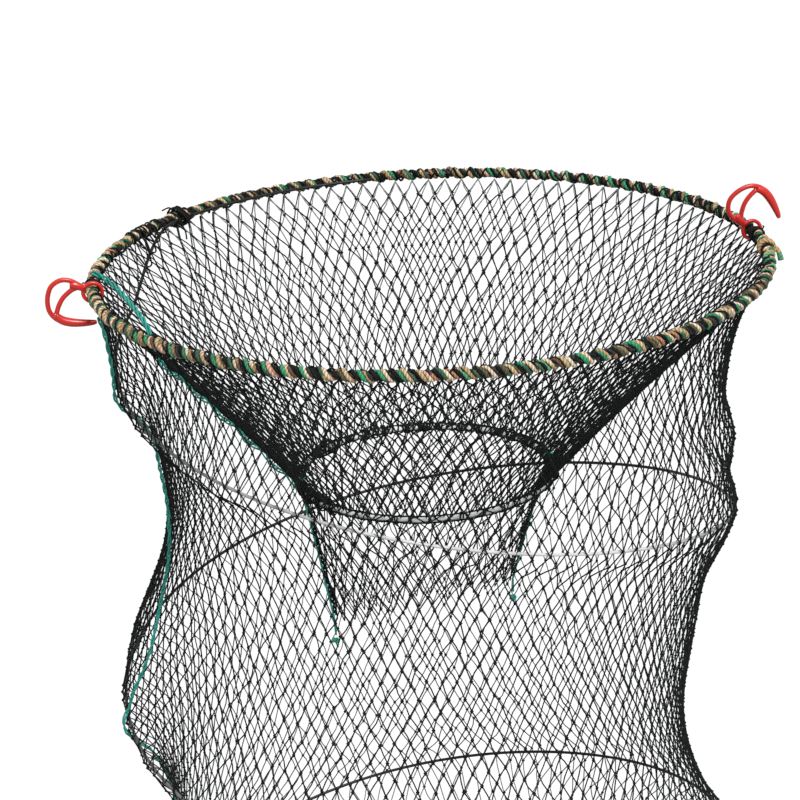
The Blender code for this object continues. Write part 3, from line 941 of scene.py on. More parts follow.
@dataclass
class Rim(Assembly):
    """One hoop, wound with camouflage cord over black twine, with the netting's edge laced to it."""

    end: End
    points: int = 12
    wander: float = 0.22
    wander_waves: tuple[int, ...] = (3, 7, 16, 29)
    lumps: float = 0.00036
    lump_waves: tuple[float, ...] = (0.31, 0.72, 1.3, 2.2)
    thicker: float = 0.16
    sides: int = 6
    pitch: float = 0.005
    off_ground: float = 1.1
    windings: tuple[Winding, ...] = (
        Winding("green_strand", "green_strand", "camouflage_rope", 0.0, 0.0028, 0.0025, 11),
        Winding("cream_strand", "cream_strand", "camouflage_rope", 0.26, 0.0028, 0.0025, 12),
        Winding("brown_strand", "brown_strand", "camouflage_rope", 0.50, 0.0024, 0.0020, 13),
        Winding("black_twine_1", "black", "black_twine", 0.70, 0.0022, 0.0018, 21),
        Winding("black_twine_2", "black", "black_twine", 0.85, 0.0022, 0.0018, 22),
        Winding("net_edge_1", "netting", "green_netting", 0.0, 0.0032, 0.0013, 31, -113, 0.0012),
        Winding("net_edge_2", "netting", "green_netting", 0.3, 0.0032, 0.0013, 32, 97, 0.0012))

    def wind(self, winding: Winding) -> StrandMesh:
        """Wind one strand, kept off the ground under the lower rim.

        Args:
            winding: the strand.

        Returns:
            The gathered mesh.
        """
        random = np.random.default_rng(winding.seed)
        loops, radius = winding.loops, winding.thick / 2
        count = abs(loops) * self.points
        share = np.arange(count) / count
        wander = np.zeros(count)
        for wave in self.wander_waves:
            size = random.normal(0.0, 0.5)
            wander += size * np.sin(2 * np.pi * (wave * share + random.random())) / wave ** 0.5
        angle = 270.0 - 360.0 * (loops * share + self.wander * wander) + winding.shift * 360.0
        angle = np.radians(angle)
        lumps = sum(random.choice((-0.5, 0.5))
                    * np.sin(2 * np.pi * (round(loops * wave) * share + random.random()))
                    for wave in self.lump_waves)
        reach = winding.reach + self.lumps * lumps - winding.inner * np.cos(angle)
        if self.end is End.BOTTOM:
            room = (self.form.z_bottom - radius * self.off_ground) / np.maximum(-np.sin(angle), 1e-3)
            reach = np.minimum(reach, np.where(np.sin(angle) < 0, room, 1.0))
        bearing = 360.0 * share
        path = self.form.by_hoop(self.end, bearing, reach * np.cos(angle), reach * np.sin(angle))
        centre = self.form.by_hoop(self.end, bearing, 0.0, 0.0)
        mesh = StrandMesh()
        mesh.round(path, centre, radius * (1 + self.thicker * lumps), self.sides, self.pitch)
        return mesh

    def build(self) -> None:
        """Make the windings, the first of which stands for the solid rope, and dress the wire."""
        name = self.end.value
        for i, winding in enumerate(self.windings):
            material = getattr(self.finish, winding.finish)
            piece = self.wind(winding).make(f"{name}_rim_{winding.label}", material)
            seat(piece, self.end.body, winding.slot, *([] if i else [f"{name}_rim_rope"]))
        dress(f"{name}_hoop", self.finish.hoop)


@dataclass(frozen=True)
class Netting:
    """A tube of knotted diamond netting; wander and bow make its knots and bars uneven.

    A bar's radius is a share of the twine's thickness.
    """

    columns: int
    half_rows: int
    twine: float
    seed: int
    knot: Triple = (0.0014, 0.0017, 0.0013)
    wander: float = 0.07
    bow: float = 0.00035
    turned: float = 0.0
    slip_down: float = 1.3
    bar: float = 0.56
    bar_sides: int = 3
    bar_pitch: float = 0.003
    bar_seed: int = 40

    def knots(self, place: Place) -> Array:
        """Where each knot lies.

        Args:
            place: gives points for arrays of bearings and shares.

        Returns:
            Points by half row and column.
        """
        random = np.random.default_rng(self.seed)
        rows = np.arange(self.half_rows + 1)[:, None]
        columns = np.arange(self.columns)[None, :]
        bearing = (columns + 0.5 * (rows % 2)) * 360.0 / self.columns + self.turned
        share = rows / self.half_rows + 0.0 * bearing
        free = (rows > 0) & (rows < self.half_rows)
        slip = random.normal(0.0, 1.0, bearing.shape) * free * self.wander
        bearing = bearing + slip * 360.0 / self.columns
        slip = random.normal(0.0, 1.0, share.shape) * free * self.wander
        share = share + slip / self.half_rows * self.slip_down
        return place(bearing, share)

    def meshes(self, place: Place, middle: Callable[[Array], Array],
               parts: int = 1) -> list[StrandMesh]:
        """Build the bars and knots, as one mesh or split by rows.

        Args:
            place: gives points for arrays of bearings and shares.
            middle: gives the axis point beside each point, which the twine faces away from.
            parts: how many meshes the rows are shared among.

        Returns:
            One gathered mesh for each part.
        """
        grid = self.knots(place)
        facing = unit(grid - middle(grid))
        found = []
        edges = np.linspace(0, self.half_rows, parts + 1).round().astype(int)
        for first, last in zip(edges, edges[1:]):
            mesh = StrandMesh()
            for way in (0, 1):
                rows = np.arange(first, last)
                shift = np.where(rows % 2 == 0, way - 1, way)[:, None]
                to = (rows + 1)[:, None], (np.arange(self.columns)[None, :] + shift) % self.columns
                out = unit(facing[rows] + facing[to])
                self._bars(mesh, grid[rows], grid[to], out, way)
            rows = np.arange(max(first + (first > 0), 1), last)
            if last < self.half_rows:
                rows = np.append(rows, last)
            tall = grid[rows + 1] - grid[rows - 1]
            mesh.knots(grid[rows], facing[rows], tall, self.knot)
            found.append(mesh)
        return found

    def _bars(self, mesh: StrandMesh, start: Array, stop: Array, out: Array, way: int) -> None:
        """Add the bars of one slant, each bowed a little to one side.

        Args:
            mesh: where they go.
            start: their upper ends.
            stop: their lower ends.
            out: the way out of the net at each.
            way: which slant.
        """
        random = np.random.default_rng(self.seed + self.bar_seed + way)
        start, stop, out = (points.reshape(-1, 3) for points in (start, stop, out))
        side = unit(np.cross(stop - start, out))
        bend = random.normal(0.0, self.bow, (len(start), 1))
        middle = (start + stop) / 2 + side * bend - out * np.abs(bend) * 0.5
        paths = np.stack([start, middle, stop], 1)
        facing = np.repeat(out[:, None], paths.shape[1], 1)
        mesh.strands(paths, facing, self.twine * self.bar, self.bar_sides, pitch=self.bar_pitch)


@dataclass
class NetBody(Assembly):
    """The outer net, the funnels and the throats."""

    outer_net: Netting = Netting(113, 86, 0.00092, 5, wander=0.065)
    funnel_net: Netting = Netting(113, 18, 0.00098, 9, (0.0016, 0.0018, 0.0014))
    throat_net: Netting = Netting(30, 7, 0.00088, 15, turned=3.0)
    folded: float = 0.0312

    def axis(self, points: Array) -> Array:
        """The trap's axis beside each point."""
        return self.form.swayed(points * (0.0, 0.0, 1.0))

    def build(self) -> None:
        """Make every net."""
        self.outer()
        for i, end in enumerate(End):
            self.inner(end, i)

    def outer(self) -> None:
        """The outer net, in two pieces that meet at a row of knots."""
        for half, mesh in zip(("upper", "lower"), self.outer_net.meshes(self.form.outer, self.axis, 2)):
            piece = mesh.make(f"outer_net_{half}", self.finish.outer_netting)
            seat(piece, "base", "green_netting", "outer_net")
            squash(piece, self.form.z_bottom + self.form.rim_out, self.folded)

    def inner(self, end: End, later: int) -> None:
        """The funnel net from a rim to its ring, and the throat net from there to its slit.

        Args:
            end: which end.
            later: how much its seeds differ from those of the first end.
        """
        nets = (("funnel", self.funnel_net, self.form.funnel, end.body, squash_funnel),
                ("throat", self.throat_net, self.form.throat, f"{end.value}_ring", squash_throat))
        for label, net, face, body, flatten in nets:
            net = replace(net, seed=net.seed + later)
            mesh = net.meshes(partial(face, end), self.axis)[0]
            piece = mesh.make(f"{end.value}_{label}_netting", self.finish.netting)
            seat(piece, body, "green_netting", f"{end.value}_{label}_net")
            flatten(piece, self.form, end)


@dataclass
class CoilSpring(Assembly):
    """The spring that holds the trap open."""

    lying: float = 45.0
    slimmer: float = 0.0002
    points: int = 560
    sides: int = 10

    def build(self) -> None:
        """Make the wire, whose ends lie along the rims."""
        ends = self.lying / 360.0
        turn = np.linspace(-ends, self.form.coil_turns + ends, self.points)
        path = self.form.swayed(self.form.polar(*self.form.coil(turn)))
        mesh = StrandMesh()
        mesh.cord(path, self.form.coil_wire / 2 - self.slimmer, self.sides)
        piece = mesh.make("coil_spring_wire", self.finish.coil)
        seat(piece, "base", "coil_wire", "coil_spring")
        keep = folded_share("fold", self.form.z_top - self.form.z_bottom)
        squash(piece, self.form.z_bottom, keep)


@dataclass
class Ring(Assembly):
    """An entry ring with the netting's twine wound round it, and its two knots.

    A layer is its clumps round the ring and its way round the wire; a bunch is its first bearing, its
    span and its turns. A reach goes from the wire's middle to the twine's, a clump or pile is how much
    further it may go, and a twine is its radius. Crowding and swing are how far loops move, in degrees,
    towards the knots and towards a clump.
    """

    end: End
    seed: int = 23
    edge_angles: tuple[float, ...] = (92.0, -48.0, 228.0)
    edge_waves: tuple[int, ...] = (5, 13, 31)
    edge_wander: float = 7.0
    edge_reach: float = 0.0023
    edge_twine: float = 0.0005
    loops: int = 64
    loop_points: int = 12
    crowding: float = 24.0
    swing: float = 300.0
    layers: tuple[tuple[int, int], ...] = ((17, 1), (23, -1), (13, 1))
    layer_reach: float = 0.0024
    layer_clump: float = 0.0006
    layer_pile: float = 0.0005
    layer_twine: float = 0.00045
    bunches: tuple[tuple[float, float, int], ...] = (
        (72.0, 66.0, 46), (128.0, 74.0, 50), (238.0, 30.0, 24), (30.0, 32.0, 24))
    bunch_waves: tuple[float, ...] = (11, 19, 37)
    bunch_reach: float = 0.0031
    bunch_clump: float = 0.0008
    bunch_twine: float = 0.00055
    knot_reach: float = 0.0033
    knot_clump: float = 0.0007
    knot_twine: float = 0.001
    knot_spread: float = 0.0016

    def place(self, bearing: Array, angle: Array, reach: Array) -> Array:
        """Points round the ring's wire.

        Args:
            bearing: bearings round the trap.
            angle: 90 is on top of the wire and 0 outside it.
            reach: distance from the wire's middle.

        Returns:
            Points.
        """
        turn = np.radians(angle)
        radius = self.form.ring_radius + reach * np.cos(turn)
        height = self.form.level(self.end, self.form.ring_drop)
        wire = self.form.swayed(self.form.polar(radius, bearing, height))
        wire[..., 2] = height + reach * np.sin(turn)
        return wire

    def show(self, mesh: StrandMesh, label: str) -> None:
        """Seat netting twine on the ring."""
        name = f"{self.end.value}_ring"
        seat(mesh.make(f"{name}_{label}", self.finish.netting), name, "green_netting")

    def build(self) -> None:
        """Wind the ring and tie its knots."""
        random = np.random.default_rng(self.seed)
        self.edge(random)
        for i, (clumps, way) in enumerate(self.layers):
            self.layer(i, clumps, way)
        self.bunched(random)
        dress(f"{self.end.value}_entry_ring", self.finish.ring)
        for side in Side:
            self.knot(side)

    def edge(self, random: np.random.Generator) -> None:
        """Three strands that run along the wire.

        Args:
            random: where their wander comes from.
        """
        share = np.arange(360) / 360
        mesh = StrandMesh()
        for angle in self.edge_angles:
            wander = sum(random.normal(0.0, self.edge_wander)
                         * np.sin(2 * np.pi * (wave * share + random.random()))
                         for wave in self.edge_waves)
            mesh.round(self.place(360.0 * share, angle + wander, self.edge_reach),
                       self.place(360.0 * share, 0.0, 0.0), self.edge_twine)
        self.show(mesh, "edge_twine")

    def layer(self, i: int, clumps: int, way: int) -> None:
        """One strand round and round the wire, in clumps and crowded at the two knots.

        Args:
            i: which layer.
            clumps: how many clumps it makes.
            way: 1 or -1, its way round the wire.
        """
        count = self.loops * self.loop_points
        share = np.arange(count) / count
        bearing = 360.0 * share
        bearing = bearing - self.crowding * np.sin(np.radians(2 * (bearing - self.form.throat_bearing)))
        phase = np.radians(clumps * bearing + 110.0 * i)
        bearing = bearing + self.swing / (2 * math.pi * clumps) * np.sin(phase)
        tight = 0.5 - 0.5 * np.cos(phase)
        near = np.cos(np.radians(bearing - self.form.throat_bearing)) ** 8
        reach = self.layer_reach + self.layer_clump * tight + self.layer_pile * i * near
        path = self.place(bearing, way * 360.0 * self.loops * share + 130.0 * i, reach)
        mesh = StrandMesh()
        mesh.round(path, self.place(bearing, 0.0, 0.0), self.layer_twine)
        self.show(mesh, f"twine_{i + 1}")

    def bunched(self, random: np.random.Generator) -> None:
        """Twine bunched over parts of the ring.

        Args:
            random: where its clumps come from.
        """
        mesh = StrandMesh()
        for start, span, turns in self.bunches:
            share = np.linspace(0.0, 1.0, turns * 10)
            clumps = np.clip(ripple(random, share, self.bunch_waves, 1.0), -0.8, 2.0)
            bearing = start + span * share + 1.6 * np.sin(share * turns * 0.9)
            reach = self.bunch_reach + self.bunch_clump * clumps
            mesh.cord(self.place(bearing, 360.0 * turns * share, reach), self.bunch_twine, 5)
        self.show(mesh, "bunched_twine")

    def knot(self, side: Side) -> None:
        """A lump of teal cord wound round the ring.

        Args:
            side: which side of the ring.
        """
        steps = np.arange(41)
        spread = math.degrees(self.knot_spread / self.form.ring_radius)
        bearing = self.form.throat_bearing + side.turn + spread * (steps / 10 - 2)
        reach = self.knot_reach + self.knot_clump * np.sin(steps * 0.7)
        mesh = StrandMesh()
        mesh.cord(self.place(bearing, 36.0 * steps, reach), self.knot_twine, 7)
        name = f"{self.end.value}_ring_knot_{side.value}"
        seat(mesh.make(f"{name}_turns", self.finish.teal), f"{self.end.value}_ring", "teal_cord", name)


@dataclass(frozen=True)
class Lay:
    """How a cord is laid: its strands, their distance from its middle, a turn's length, their radius."""

    strands: int
    reach: float
    pitch: float
    radius: float


@dataclass
class Cords(Assembly):
    """The teal cords: the side seam, the funnel cords, the throat cords and their end knots.

    A funnel cord's strands are thinner where it is woven into the net, and the netting's edge is thicker
    on a throat's left side.
    """

    seam_bearing: float = 240.0
    seam_over: float = 0.0022
    seam_folded: float = 0.043
    seam_lay: Lay = Lay(2, 0.0008, 0.018, 0.0007)
    funnel_lay: Lay = Lay(3, 0.0012, 0.030, 0.0008)
    woven: float = 0.00055
    throat_over: float = 0.0013
    throat_lay: Lay = Lay(2, 0.0005, 0.009, 0.00065)
    edge_lay: Lay = Lay(3, 0.0011, 0.021, 0.0004)
    left_edge: float = 0.0006
    knot_scale: float = 0.00068
    knot_strand: float = 0.00085
    knot_tail: float = 0.0006

    @staticmethod
    def twisted(path: Array, lay: Lay, radius: Optional[Size] = None) -> StrandMesh:
        """A few strands twisted round each other.

        Args:
            path: the cord's middle.
            lay: how it is laid.
            radius: another radius of the strands, or one for each point.

        Returns:
            The gathered mesh.
        """
        mesh = StrandMesh()
        radius = lay.radius if radius is None else radius
        tangent = unit(np.gradient(path, axis=0))
        facing = unit(np.cross(tangent, np.array([0.3, 0.2, 1.0])))
        beside = np.cross(tangent, facing)
        run = np.concatenate([[0.0], np.cumsum(np.linalg.norm(np.diff(path, axis=0), axis=1))])
        for i in range(lay.strands):
            phase = (2 * np.pi * (run / lay.pitch + i / lay.strands))[:, None]
            mesh.cord(path + lay.reach * (facing * np.cos(phase) + beside * np.sin(phase)), radius)
        return mesh

    def build(self) -> None:
        """Make every cord."""
        self.seam()
        for end in End:
            self.funnel(end)
            for side in Side:
                self.throat(end, side)

    def seam(self) -> None:
        """The cord down the outside of the net."""
        share = np.linspace(0.004, 0.996, 260)
        bearing = self.seam_bearing + 1.2 * np.sin(share * 31.0) + 0.8 * np.sin(share * 71.0 + 1.0)
        path = self.form.outer(bearing, share)
        path = path + unit(path - self.form.swayed(path * (0.0, 0.0, 1.0))) * self.seam_over
        piece = self.twisted(path, self.seam_lay).make("side_seam_strands", self.finish.teal)
        seat(piece, "base", "teal_cord", "side_seam_cord")
        squash(piece, self.form.z_bottom, self.seam_folded)

    def funnel(self, end: End) -> None:
        """The cord along the inside of a rim and down the funnel.

        Its spots are distances inside the hoop, bearings and drops.

        Args:
            end: which one.
        """
        start, over = self.form.rim_out + 0.0014, self.form.rim_out + 0.0010
        spots = ((0.0, 226.6, -over), (start * 0.75, 227.0, -over * 0.75), (0.0110, 228.6, -0.001),
                 (0.0165, 232.6, 0.0), (0.0200, 238.6, 0.0008), (0.0213, 246.0, 0.0025),
                 (0.0195, 252.0, 0.006))
        along = [self.form.polar(self.form.hoop_radius - inside, bearing, self.form.level(end, drop))
                 for inside, bearing, drop in spots]
        share = np.linspace(0.13, 0.96, 22)
        over = 0.0018 + 0.0012 * np.sin(share * 40.0)
        down = self.form.funnel(end, 259.0 - 13.0 * share, share, over)
        path = curve_through(np.vstack([along, down]), 4)
        radius = np.where(np.arange(len(path)) < 4 * len(along), self.funnel_lay.radius, self.woven)
        mesh = self.twisted(path, self.funnel_lay, radius)
        name = f"{end.value}_funnel_cord"
        piece = seat(mesh.make(f"{name}_strands", self.finish.teal), end.body, "teal_cord", name)
        squash_funnel(piece, self.form, end)

    def throat(self, end: End, side: Side) -> None:
        """The cord and the netting's edge down one side of a throat, and the cord's end knot.

        Args:
            end: which throat.
            side: which side of it.
        """
        share = np.linspace(0.03, 1.0, 24)
        turn = np.full_like(share, side.turn)
        path = self.form.throat(end, turn, share, self.throat_over)
        tip = path[-1] + (path[-1] - path[-2]) * 0.4
        tip[2] = self.form.level(end, self.form.tip_drop - 0.0035)
        name, body = f"{end.value}_throat_cord_{side.value}", f"{end.value}_ring"
        mesh = self.twisted(np.vstack([path, tip]), self.throat_lay)
        piece = seat(mesh.make(f"{name}_strands", self.finish.teal), body, "teal_cord", name)
        squash_throat(piece, self.form, end)
        edge = self.form.throat(end, turn, share)[:-1]
        mesh = self.twisted(edge, self.edge_lay, self.left_edge if side is Side.LEFT else None)
        piece = seat(mesh.make(f"{name}_net_edge", self.finish.netting), body, "green_netting")
        squash_throat(piece, self.form, end)
        self.tip_knot(end, side)

    def tip_knot(self, end: End, side: Side) -> None:
        """An overhand knot with a short tail where the solid's bead is.

        Args:
            end: which throat.
            side: which side of it.
        """
        name = f"{end.value}_throat_knot_{side.value}"
        low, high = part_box(name)
        centre = (np.array(low) + np.array(high)) / 2
        t = np.linspace(0.0, 2 * np.pi, 40, endpoint=False)
        curl = stacked(np.sin(t) + 2 * np.sin(2 * t), np.cos(t) - 2 * np.cos(2 * t), -np.sin(3 * t) * 1.3)
        mesh = StrandMesh()
        mesh.cord(centre + curl * self.knot_scale, self.knot_strand, closed=True)
        tail = centre + np.array([[0, 0, 0], [0.0005, 0.0008, -0.003 * end.up],
                                  [0.0016, 0.0012, -0.0052 * end.up]])
        mesh.cord(curve_through(tail, 4), self.knot_tail)
        seat(mesh.make(f"{name}_loops", self.finish.teal), f"{end.value}_throat_tip", "teal_cord", name)


@dataclass
class Bindings(Assembly):
    """Twine bindings and rope knots on the rims, wound where their solids are.

    A circle of what is tied is its place outward and upward from the hoop's middle, and its radius. A tie
    of the coil is its turns, its distance off the wires, its spread, its seed and its looseness, and the
    web's turns are in degrees from where the coil leaves the rim.
    """

    rope: Triple = (0.0, 0.0, 0.0039)
    twine: float = 0.0006
    tail_twine: float = 0.0005
    steps: int = 14
    ties: tuple[tuple[int, float, float, int, float], ...] = (
        (6, 0.0006, 0.013, 2, 0.0008), (5, 0.0016, 0.009, 3, 0.0014), (3, 0.0026, 0.006, 6, 0.0022))
    web: tuple[float, ...] = (3.5, 6.0, 8.5, 11.0)
    web_seed: int = 40
    tan: float = 0.0012
    tan_tail: float = 0.0016
    tan_pitch: float = 0.005

    def hull(self, circles: Sequence[Triple], grow: float) -> Array:
        """Corners of the tight polygon round circles.

        Args:
            circles: what is tied.
            grow: how far the polygon stays off them.

        Returns:
            Corners, outward and upward from the hoop's middle.
        """
        angles = 2 * np.pi * (np.arange(self.steps + 1) + 0.5) / self.steps
        reach = np.array([max(x * math.cos(a) + y * math.sin(a) + r for x, y, r in circles) + grow
                          for a in angles])
        a, b = angles[:-1], angles[1:]
        across = (reach[:-1] * np.sin(b) - reach[1:] * np.sin(a)) / np.sin(b - a)
        up = (reach[1:] * np.cos(a) - reach[:-1] * np.cos(b)) / np.sin(b - a)
        return stacked(across, up)

    def turns(self, end: End, bearing: float, turns: float, off: float, spread: float,
              circles: Sequence[Triple], seed: int, loose: float) -> Array:
        """A path of turns of twine round the rim, crossing as tied twine does.

        Args:
            end: which rim.
            bearing: the middle of the tie.
            turns: how many turns.
            off: how far the twine's middle lies outside the circles.
            spread: length of the tie along the rim.
            circles: what is tied.
            seed: seed of the crossings.
            loose: how far the turns wander along the rim and stand off it.

        Returns:
            Points of the path.
        """
        random = np.random.default_rng(seed)
        count = int(turns * self.steps)
        run = np.arange(count + 1) / self.steps
        wave = ripple(random, run, (0.9, 1.7, 2.9), 0.5)
        bulge = ripple(random, run, (1.3, 3.1, 5.2), 0.5)
        corners = self.hull(circles, off)[np.arange(count + 1) % self.steps]
        centre = corners.mean(0)
        corners = centre + (corners - centre) * (1.0 + 60.0 * loose * np.abs(bulge))[:, None]
        along = (np.linspace(-0.5, 0.5, count + 1) + 0.06 * wave) * spread + loose * wave * 1.5
        place = bearing + np.degrees(along / self.form.hoop_radius)
        up = corners[:, 1] if end is End.TOP else np.maximum(corners[:, 1], off - self.form.z_bottom)
        return self.form.by_hoop(end, place, corners[:, 0], up)

    def tail(self, end: End, bearing: float, steps: Sequence[Triple]) -> Array:
        """The path of a loose end of twine.

        Args:
            end: which rim.
            bearing: where it starts.
            steps: its points, outward, along and upward from the hoop's middle.

        Returns:
            Points of the path.
        """
        points = [self.form.by_hoop(end, bearing + math.degrees(along / self.form.hoop_radius), out, up)
                  for out, along, up in steps]
        return curve_through(points, 5)

    def build(self) -> None:
        """Tie every binding."""
        joins = self.form.coil_leaves + 360.0 * self.form.coil_turns
        self.coil_binding(End.TOP, self.form.coil_leaves - 3.0)
        self.coil_binding(End.BOTTOM, joins + 3.0)
        self.lashing(Side.LEFT, 230.0)
        self.lashing(Side.RIGHT, 53.0)
        self.rope_knot(End.TOP, 45.0)
        self.rope_knot(End.BOTTOM, 63.0)

    def coil_binding(self, end: End, bearing: float) -> None:
        """A tie of rim and coil with two loose ends, and loose turns where the coil leaves the rim.

        Args:
            end: which rim.
            bearing: the middle of the tie.
        """
        wire = self.form.coil_wire / 2
        tied = (self.rope, (-(self.form.rim_out + 0.0016), 0.0, wire))
        mesh = StrandMesh()
        for turns, off, spread, seed, loose in self.ties:
            mesh.cord(self.turns(end, bearing, turns, off, spread, tied, seed, loose), self.twine)
        inside = ((-0.006, 0.004, 0.001), (-0.009, 0.006, -0.002 * end.up),
                  (-0.011, 0.005, -0.008 * end.up), (-0.010, 0.003, -0.014 * end.up))
        beside = {End.TOP: ((0.001, 0.003, 0.0055), (0.003, 0.005, 0.0075), (0.006, 0.009, 0.006)),
                  End.BOTTOM: ((0.005, 0.003, 0.001), (0.007, 0.005, 0.003), (0.008, 0.009, 0.002))}
        for steps in (inside, beside[end]):
            mesh.cord(self.tail(end, bearing, steps), self.twine)
        for i, off in enumerate(self.web):
            turn = off / 360.0 if end is End.TOP else self.form.coil_turns - off / 360.0
            radius, place, height = (float(value) for value in self.form.coil(np.array(turn)))
            tied = (self.rope, (radius - self.form.hoop_radius, height - self.form.level(end, 0.0), wire))
            spread = 0.004 + 0.003 * (i % 2)
            path = self.turns(end, place, 1.4, 0.0005, spread, tied, self.web_seed + i, 0.0006)
            mesh.cord(path, self.twine)
        name = f"{end.value}_coil_binding"
        seat(mesh.make(f"{name}_turns", self.finish.black), end.body, "black_twine", name)

    def lashing(self, side: Side, bearing: float) -> None:
        """A short tie on the upper rim that keeps a hook's eye from sliding.

        Args:
            side: which hook.
            bearing: the middle of the tie.
        """
        mesh = StrandMesh()
        mesh.cord(self.turns(End.TOP, bearing, 5, 0.0006, 0.007, (self.rope,), 4, 0.0009), self.twine)
        steps = ((0.004, 0.001, 0.003), (0.0055, 0.0025, 0.004), (0.006, 0.006, 0.0035))
        mesh.cord(self.tail(End.TOP, bearing, steps), self.tail_twine)
        name = f"{side.value}_hook_lashing"
        seat(mesh.make(f"{name}_turns", self.finish.black), "top_end", "black_twine", name)

    def rope_knot(self, end: End, bearing: float) -> None:
        """The tan knot with its short tail, whose tip is green.

        Args:
            end: which rim.
            bearing: where it is tied.
        """
        path = self.turns(end, bearing, 3, 0.0011, 0.006, (self.rope,), 5, 0.0006)
        outward = self.form.polar(1.0, bearing, 0.0)
        side = self.form.polar(1.0, bearing + 90.0, 0.0)
        base = self.form.by_hoop(end, bearing, 0.0050, 0.0)
        steps = {End.TOP: ((0.0, 0.0, 0.0), (0.0015, 0.0, -0.001), (0.0028, -0.0005, -0.003),
                           (0.0036, -0.0015, -0.0055), (0.0040, -0.003, -0.0080)),
                 End.BOTTOM: ((0.0, 0.0, 0.0), (0.003, 0.002, 0.001), (0.0045, 0.005, 0.001),
                              (0.005, 0.008, 0.0), (0.005, 0.011, -0.001))}[end]
        tail = curve_through([base + outward * out + side * along + np.array([0.0, 0.0, up])
                              for out, along, up in steps], 5)
        mesh = StrandMesh()
        mesh.cord(path, self.tan, 8, pitch=self.tan_pitch)
        mesh.cord(tail[:13], self.tan_tail, 8, pitch=self.tan_pitch)
        name = f"{end.value}_rope_knot"
        seat(mesh.make(f"{name}_turns", self.finish.tan), end.body, "tan_rope", name)
        mesh = StrandMesh()
        mesh.cord(tail[11:], np.linspace(0.0017, 0.0020, 10), 8, pitch=self.tan_pitch)
        seat(mesh.make(f"{name}_tip", self.finish.tip), end.body, "tan_rope")


@dataclass
class Hook(Assembly):
    """One moulded hook, finer than its solid: an eye, two rails with a slot, and a tapered arm.

    Its sizes are in millimetres, as points in its own plane from the eye's middle. Those of the neck
    and the arm have a third number, their thickness. Its turn is 0 where it points straight outward.
    """

    side: Side
    bearing: float
    turn: float
    eye: float = 6.15
    loop: float = 1.35
    bar: float = 1.65
    sides: int = 14
    voxel: float = 0.34
    outer: tuple[tuple[float, float], ...] = (
        (7.6, -5.2), (12.6, -8.5), (17.6, -9.9), (22.4, -8.9), (26.8, -5.2), (29.1, 2.0), (28.8, 9.2),
        (26.0, 14.4), (21.6, 18.0))
    inner: tuple[tuple[float, float], ...] = (
        (7.6, -4.4), (12.2, -3.2), (15.8, -0.9), (19.4, 2.4), (22.3, 7.2), (24.2, 12.4))
    neck: tuple[Triple, ...] = (
        (5.2, -3.0, 4.0), (8.2, -4.6, 5.2), (11.6, -5.8, 5.2), (14.2, -6.3, 4.0))
    arm: tuple[Triple, ...] = (
        (24.8, 13.4, 4.6), (20.8, 17.0, 5.8), (15.6, 18.9, 5.8), (10.0, 19.8, 5.2), (4.6, 20.2, 4.4),
        (0.6, 20.2, 3.4), (-1.2, 20.0, 2.4))

    def build(self) -> None:
        """Fuse the bars into one smooth moulding and hang it on the rim."""
        mesh = StrandMesh()
        angle = np.linspace(0, 2 * np.pi, 48, endpoint=False)
        eye = self.eye * stacked(np.cos(angle), np.sin(angle), 0.0)
        mesh.cord(eye, self.loop, self.sides, True)
        for points in (self.outer, self.inner):
            mesh.cord(curve_through([(x, y, 0.0) for x, y in points], 6), self.bar, self.sides)
        for points in (self.neck, self.arm):
            path = curve_through(points, 6)
            mesh.cord(path * (1.0, 1.0, 0.0), path[:, 2] / 2, self.sides)
        piece = mesh.make(f"{self.side.value}_hook_moulding", self.finish.red)
        self.fuse(piece)
        outward = Vector(self.form.polar(1.0, self.bearing, 0.0))
        along = Vector(self.form.polar(1.0, self.bearing + 90.0, 0.0))
        up = Vector((0, 0, 1))
        turn = math.radians(self.turn)
        ahead = outward * math.cos(turn) + up * math.sin(turn)
        beside = outward * math.sin(turn) - up * math.cos(turn)
        place = Matrix((ahead, beside, along)).transposed().to_4x4()
        centre = self.form.by_hoop(End.TOP, self.bearing, 0.0, 0.0)
        piece.data.transform(Matrix.Translation(Vector(centre)) @ place @ Matrix.Scale(0.001, 4))
        seat(piece, f"{self.side.value}_hook", "red_plastic", f"{self.side.value}_hook")

    def fuse(self, piece: bpy.types.Object) -> None:
        """Remesh the bars into one skin, in millimetres, and smooth it.

        Args:
            piece: the bars.
        """
        remesh = piece.modifiers.new("fuse", "REMESH")
        remesh.mode = "VOXEL"
        remesh.voxel_size = self.voxel
        relax = piece.modifiers.new("relax", "SMOOTH")
        relax.factor = 0.5
        relax.iterations = 6
        bpy.context.view_layer.update()
        fused = piece.evaluated_get(bpy.context.evaluated_depsgraph_get())
        shape = bpy.data.meshes.new_from_object(fused)
        piece.modifiers.clear()
        piece.data = shape
        shape.shade_smooth()


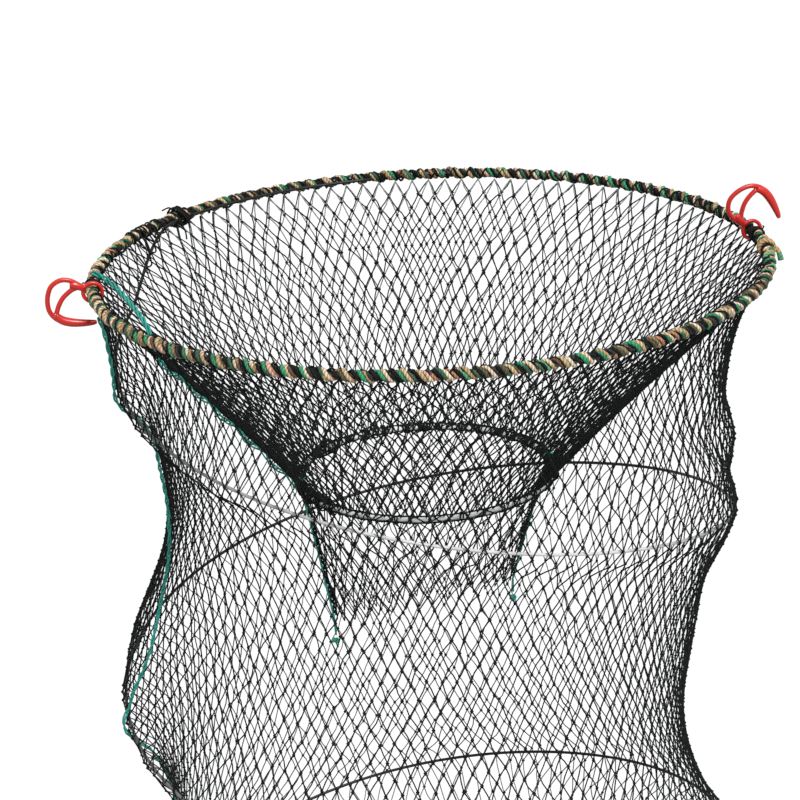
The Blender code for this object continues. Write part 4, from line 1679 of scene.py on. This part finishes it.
@dataclass
class Studio:
    """The camera of the photograph, a pale floor and soft light.

    The focal length is in the photo's pixels. The key light shines from a side that is given in the
    photograph's own axes.
    """

    form: TrapForm
    elevation: float = 20.0
    roll: float = -2.61
    distance: float = 1.8
    shift: tuple[float, float] = (0.0196, 0.0896)
    focal: float = 2756.3
    frame_width: float = 800.0
    sensor: float = 36.0
    turn: float = 45.0
    floor_half: float = 30.0
    floor_grey: float = 0.44
    key_side: Triple = (1.2, -2.4, 3.6)
    key_spread: float = 0.35
    key_strength: float = 5.6

    @property
    def turned(self) -> Matrix:
        """The turn from the photograph's own axes to the model's."""
        return Matrix.Rotation(math.radians(self.turn), 3, "Z")

    def build(self) -> None:
        """Set up the camera, the floor and the lights."""
        self.camera()
        self.floor()
        self.key()
        world = bpy.data.worlds.new("studio")
        world.use_nodes = True
        background = world.node_tree.nodes["Background"].inputs
        background["Color"].default_value = (1.0, 1.0, 1.0, 1.0)
        background["Strength"].default_value = 1.0
        bpy.context.scene.world = world
        bpy.context.scene.view_settings.view_transform = "Standard"

    def camera(self) -> None:
        """The photograph's view."""
        elevation, roll = math.radians(self.elevation), math.radians(self.roll)
        forward = Vector((0.0, math.cos(elevation), -math.sin(elevation)))
        right = Vector((1.0, 0.0, 0.0))
        up = right.cross(forward)
        side = right * math.cos(roll) + up * math.sin(roll)
        top = up * math.cos(roll) - right * math.sin(roll)
        place = -forward * self.distance - side * self.shift[0] - top * self.shift[1]
        turned = self.turned
        axes = Matrix((turned @ side, turned @ top, -(turned @ forward))).transposed().to_4x4()
        lens = bpy.data.cameras.new("camera")
        lens.sensor_width = self.sensor
        lens.lens = self.focal / self.frame_width * self.sensor
        camera = bpy.data.objects.new("camera", lens)
        raised = turned @ place + Vector((0, 0, self.form.z_top))
        camera.matrix_world = Matrix.Translation(raised) @ axes
        bpy.context.scene.collection.objects.link(camera)
        bpy.context.scene.camera = camera

    def floor(self) -> None:
        """A wide pale floor."""
        half = self.floor_half
        mesh = bpy.data.meshes.new("floor")
        corners = [(-half, -half, 0), (half, -half, 0), (half, half, 0), (-half, half, 0)]
        mesh.from_pydata(corners, [], [(0, 1, 2, 3)])
        pale = Nodes("pale_floor").finish((self.floor_grey,) * 3, 0.95, Specular_IOR_Level=0.0)
        mesh.materials.append(pale)
        floor = bpy.data.objects.new("floor", mesh)
        bpy.context.scene.collection.objects.link(floor)

    def key(self) -> None:
        """A broad even light."""
        lamp = bpy.data.lights.new("key", "SUN")
        lamp.angle = self.key_spread
        lamp.energy = self.key_strength
        made = bpy.data.objects.new("key", lamp)
        made.location = self.turned @ Vector(self.key_side)
        made.rotation_euler = (-made.location).to_track_quat("-Z", "Y").to_euler()
        bpy.context.scene.collection.objects.link(made)


def middle_height(node: str) -> float:
    """Height of a node's middle."""
    low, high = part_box(node)
    return (low[2] + high[2]) / 2


def main() -> None:
    """Build and dress the trap, piece by piece."""
    logging.basicConfig(level=logging.INFO, format="%(message)s")
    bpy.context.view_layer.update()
    form = TrapForm(middle_height("top_hoop"), middle_height("bottom_hoop"))
    Studio(form).build()
    finish = FinishSet()
    for end in End:
        Rim(form, finish, end).build()
        Ring(form, finish, end).build()
    NetBody(form, finish).build()
    CoilSpring(form, finish).build()
    Cords(form, finish).build()
    Bindings(form, finish).build()
    Hook(form, finish, Side.LEFT, 233.0, 0.0).build()
    Hook(form, finish, Side.RIGHT, 56.0, 111.0).build()


if __name__ == "__main__":
    main()
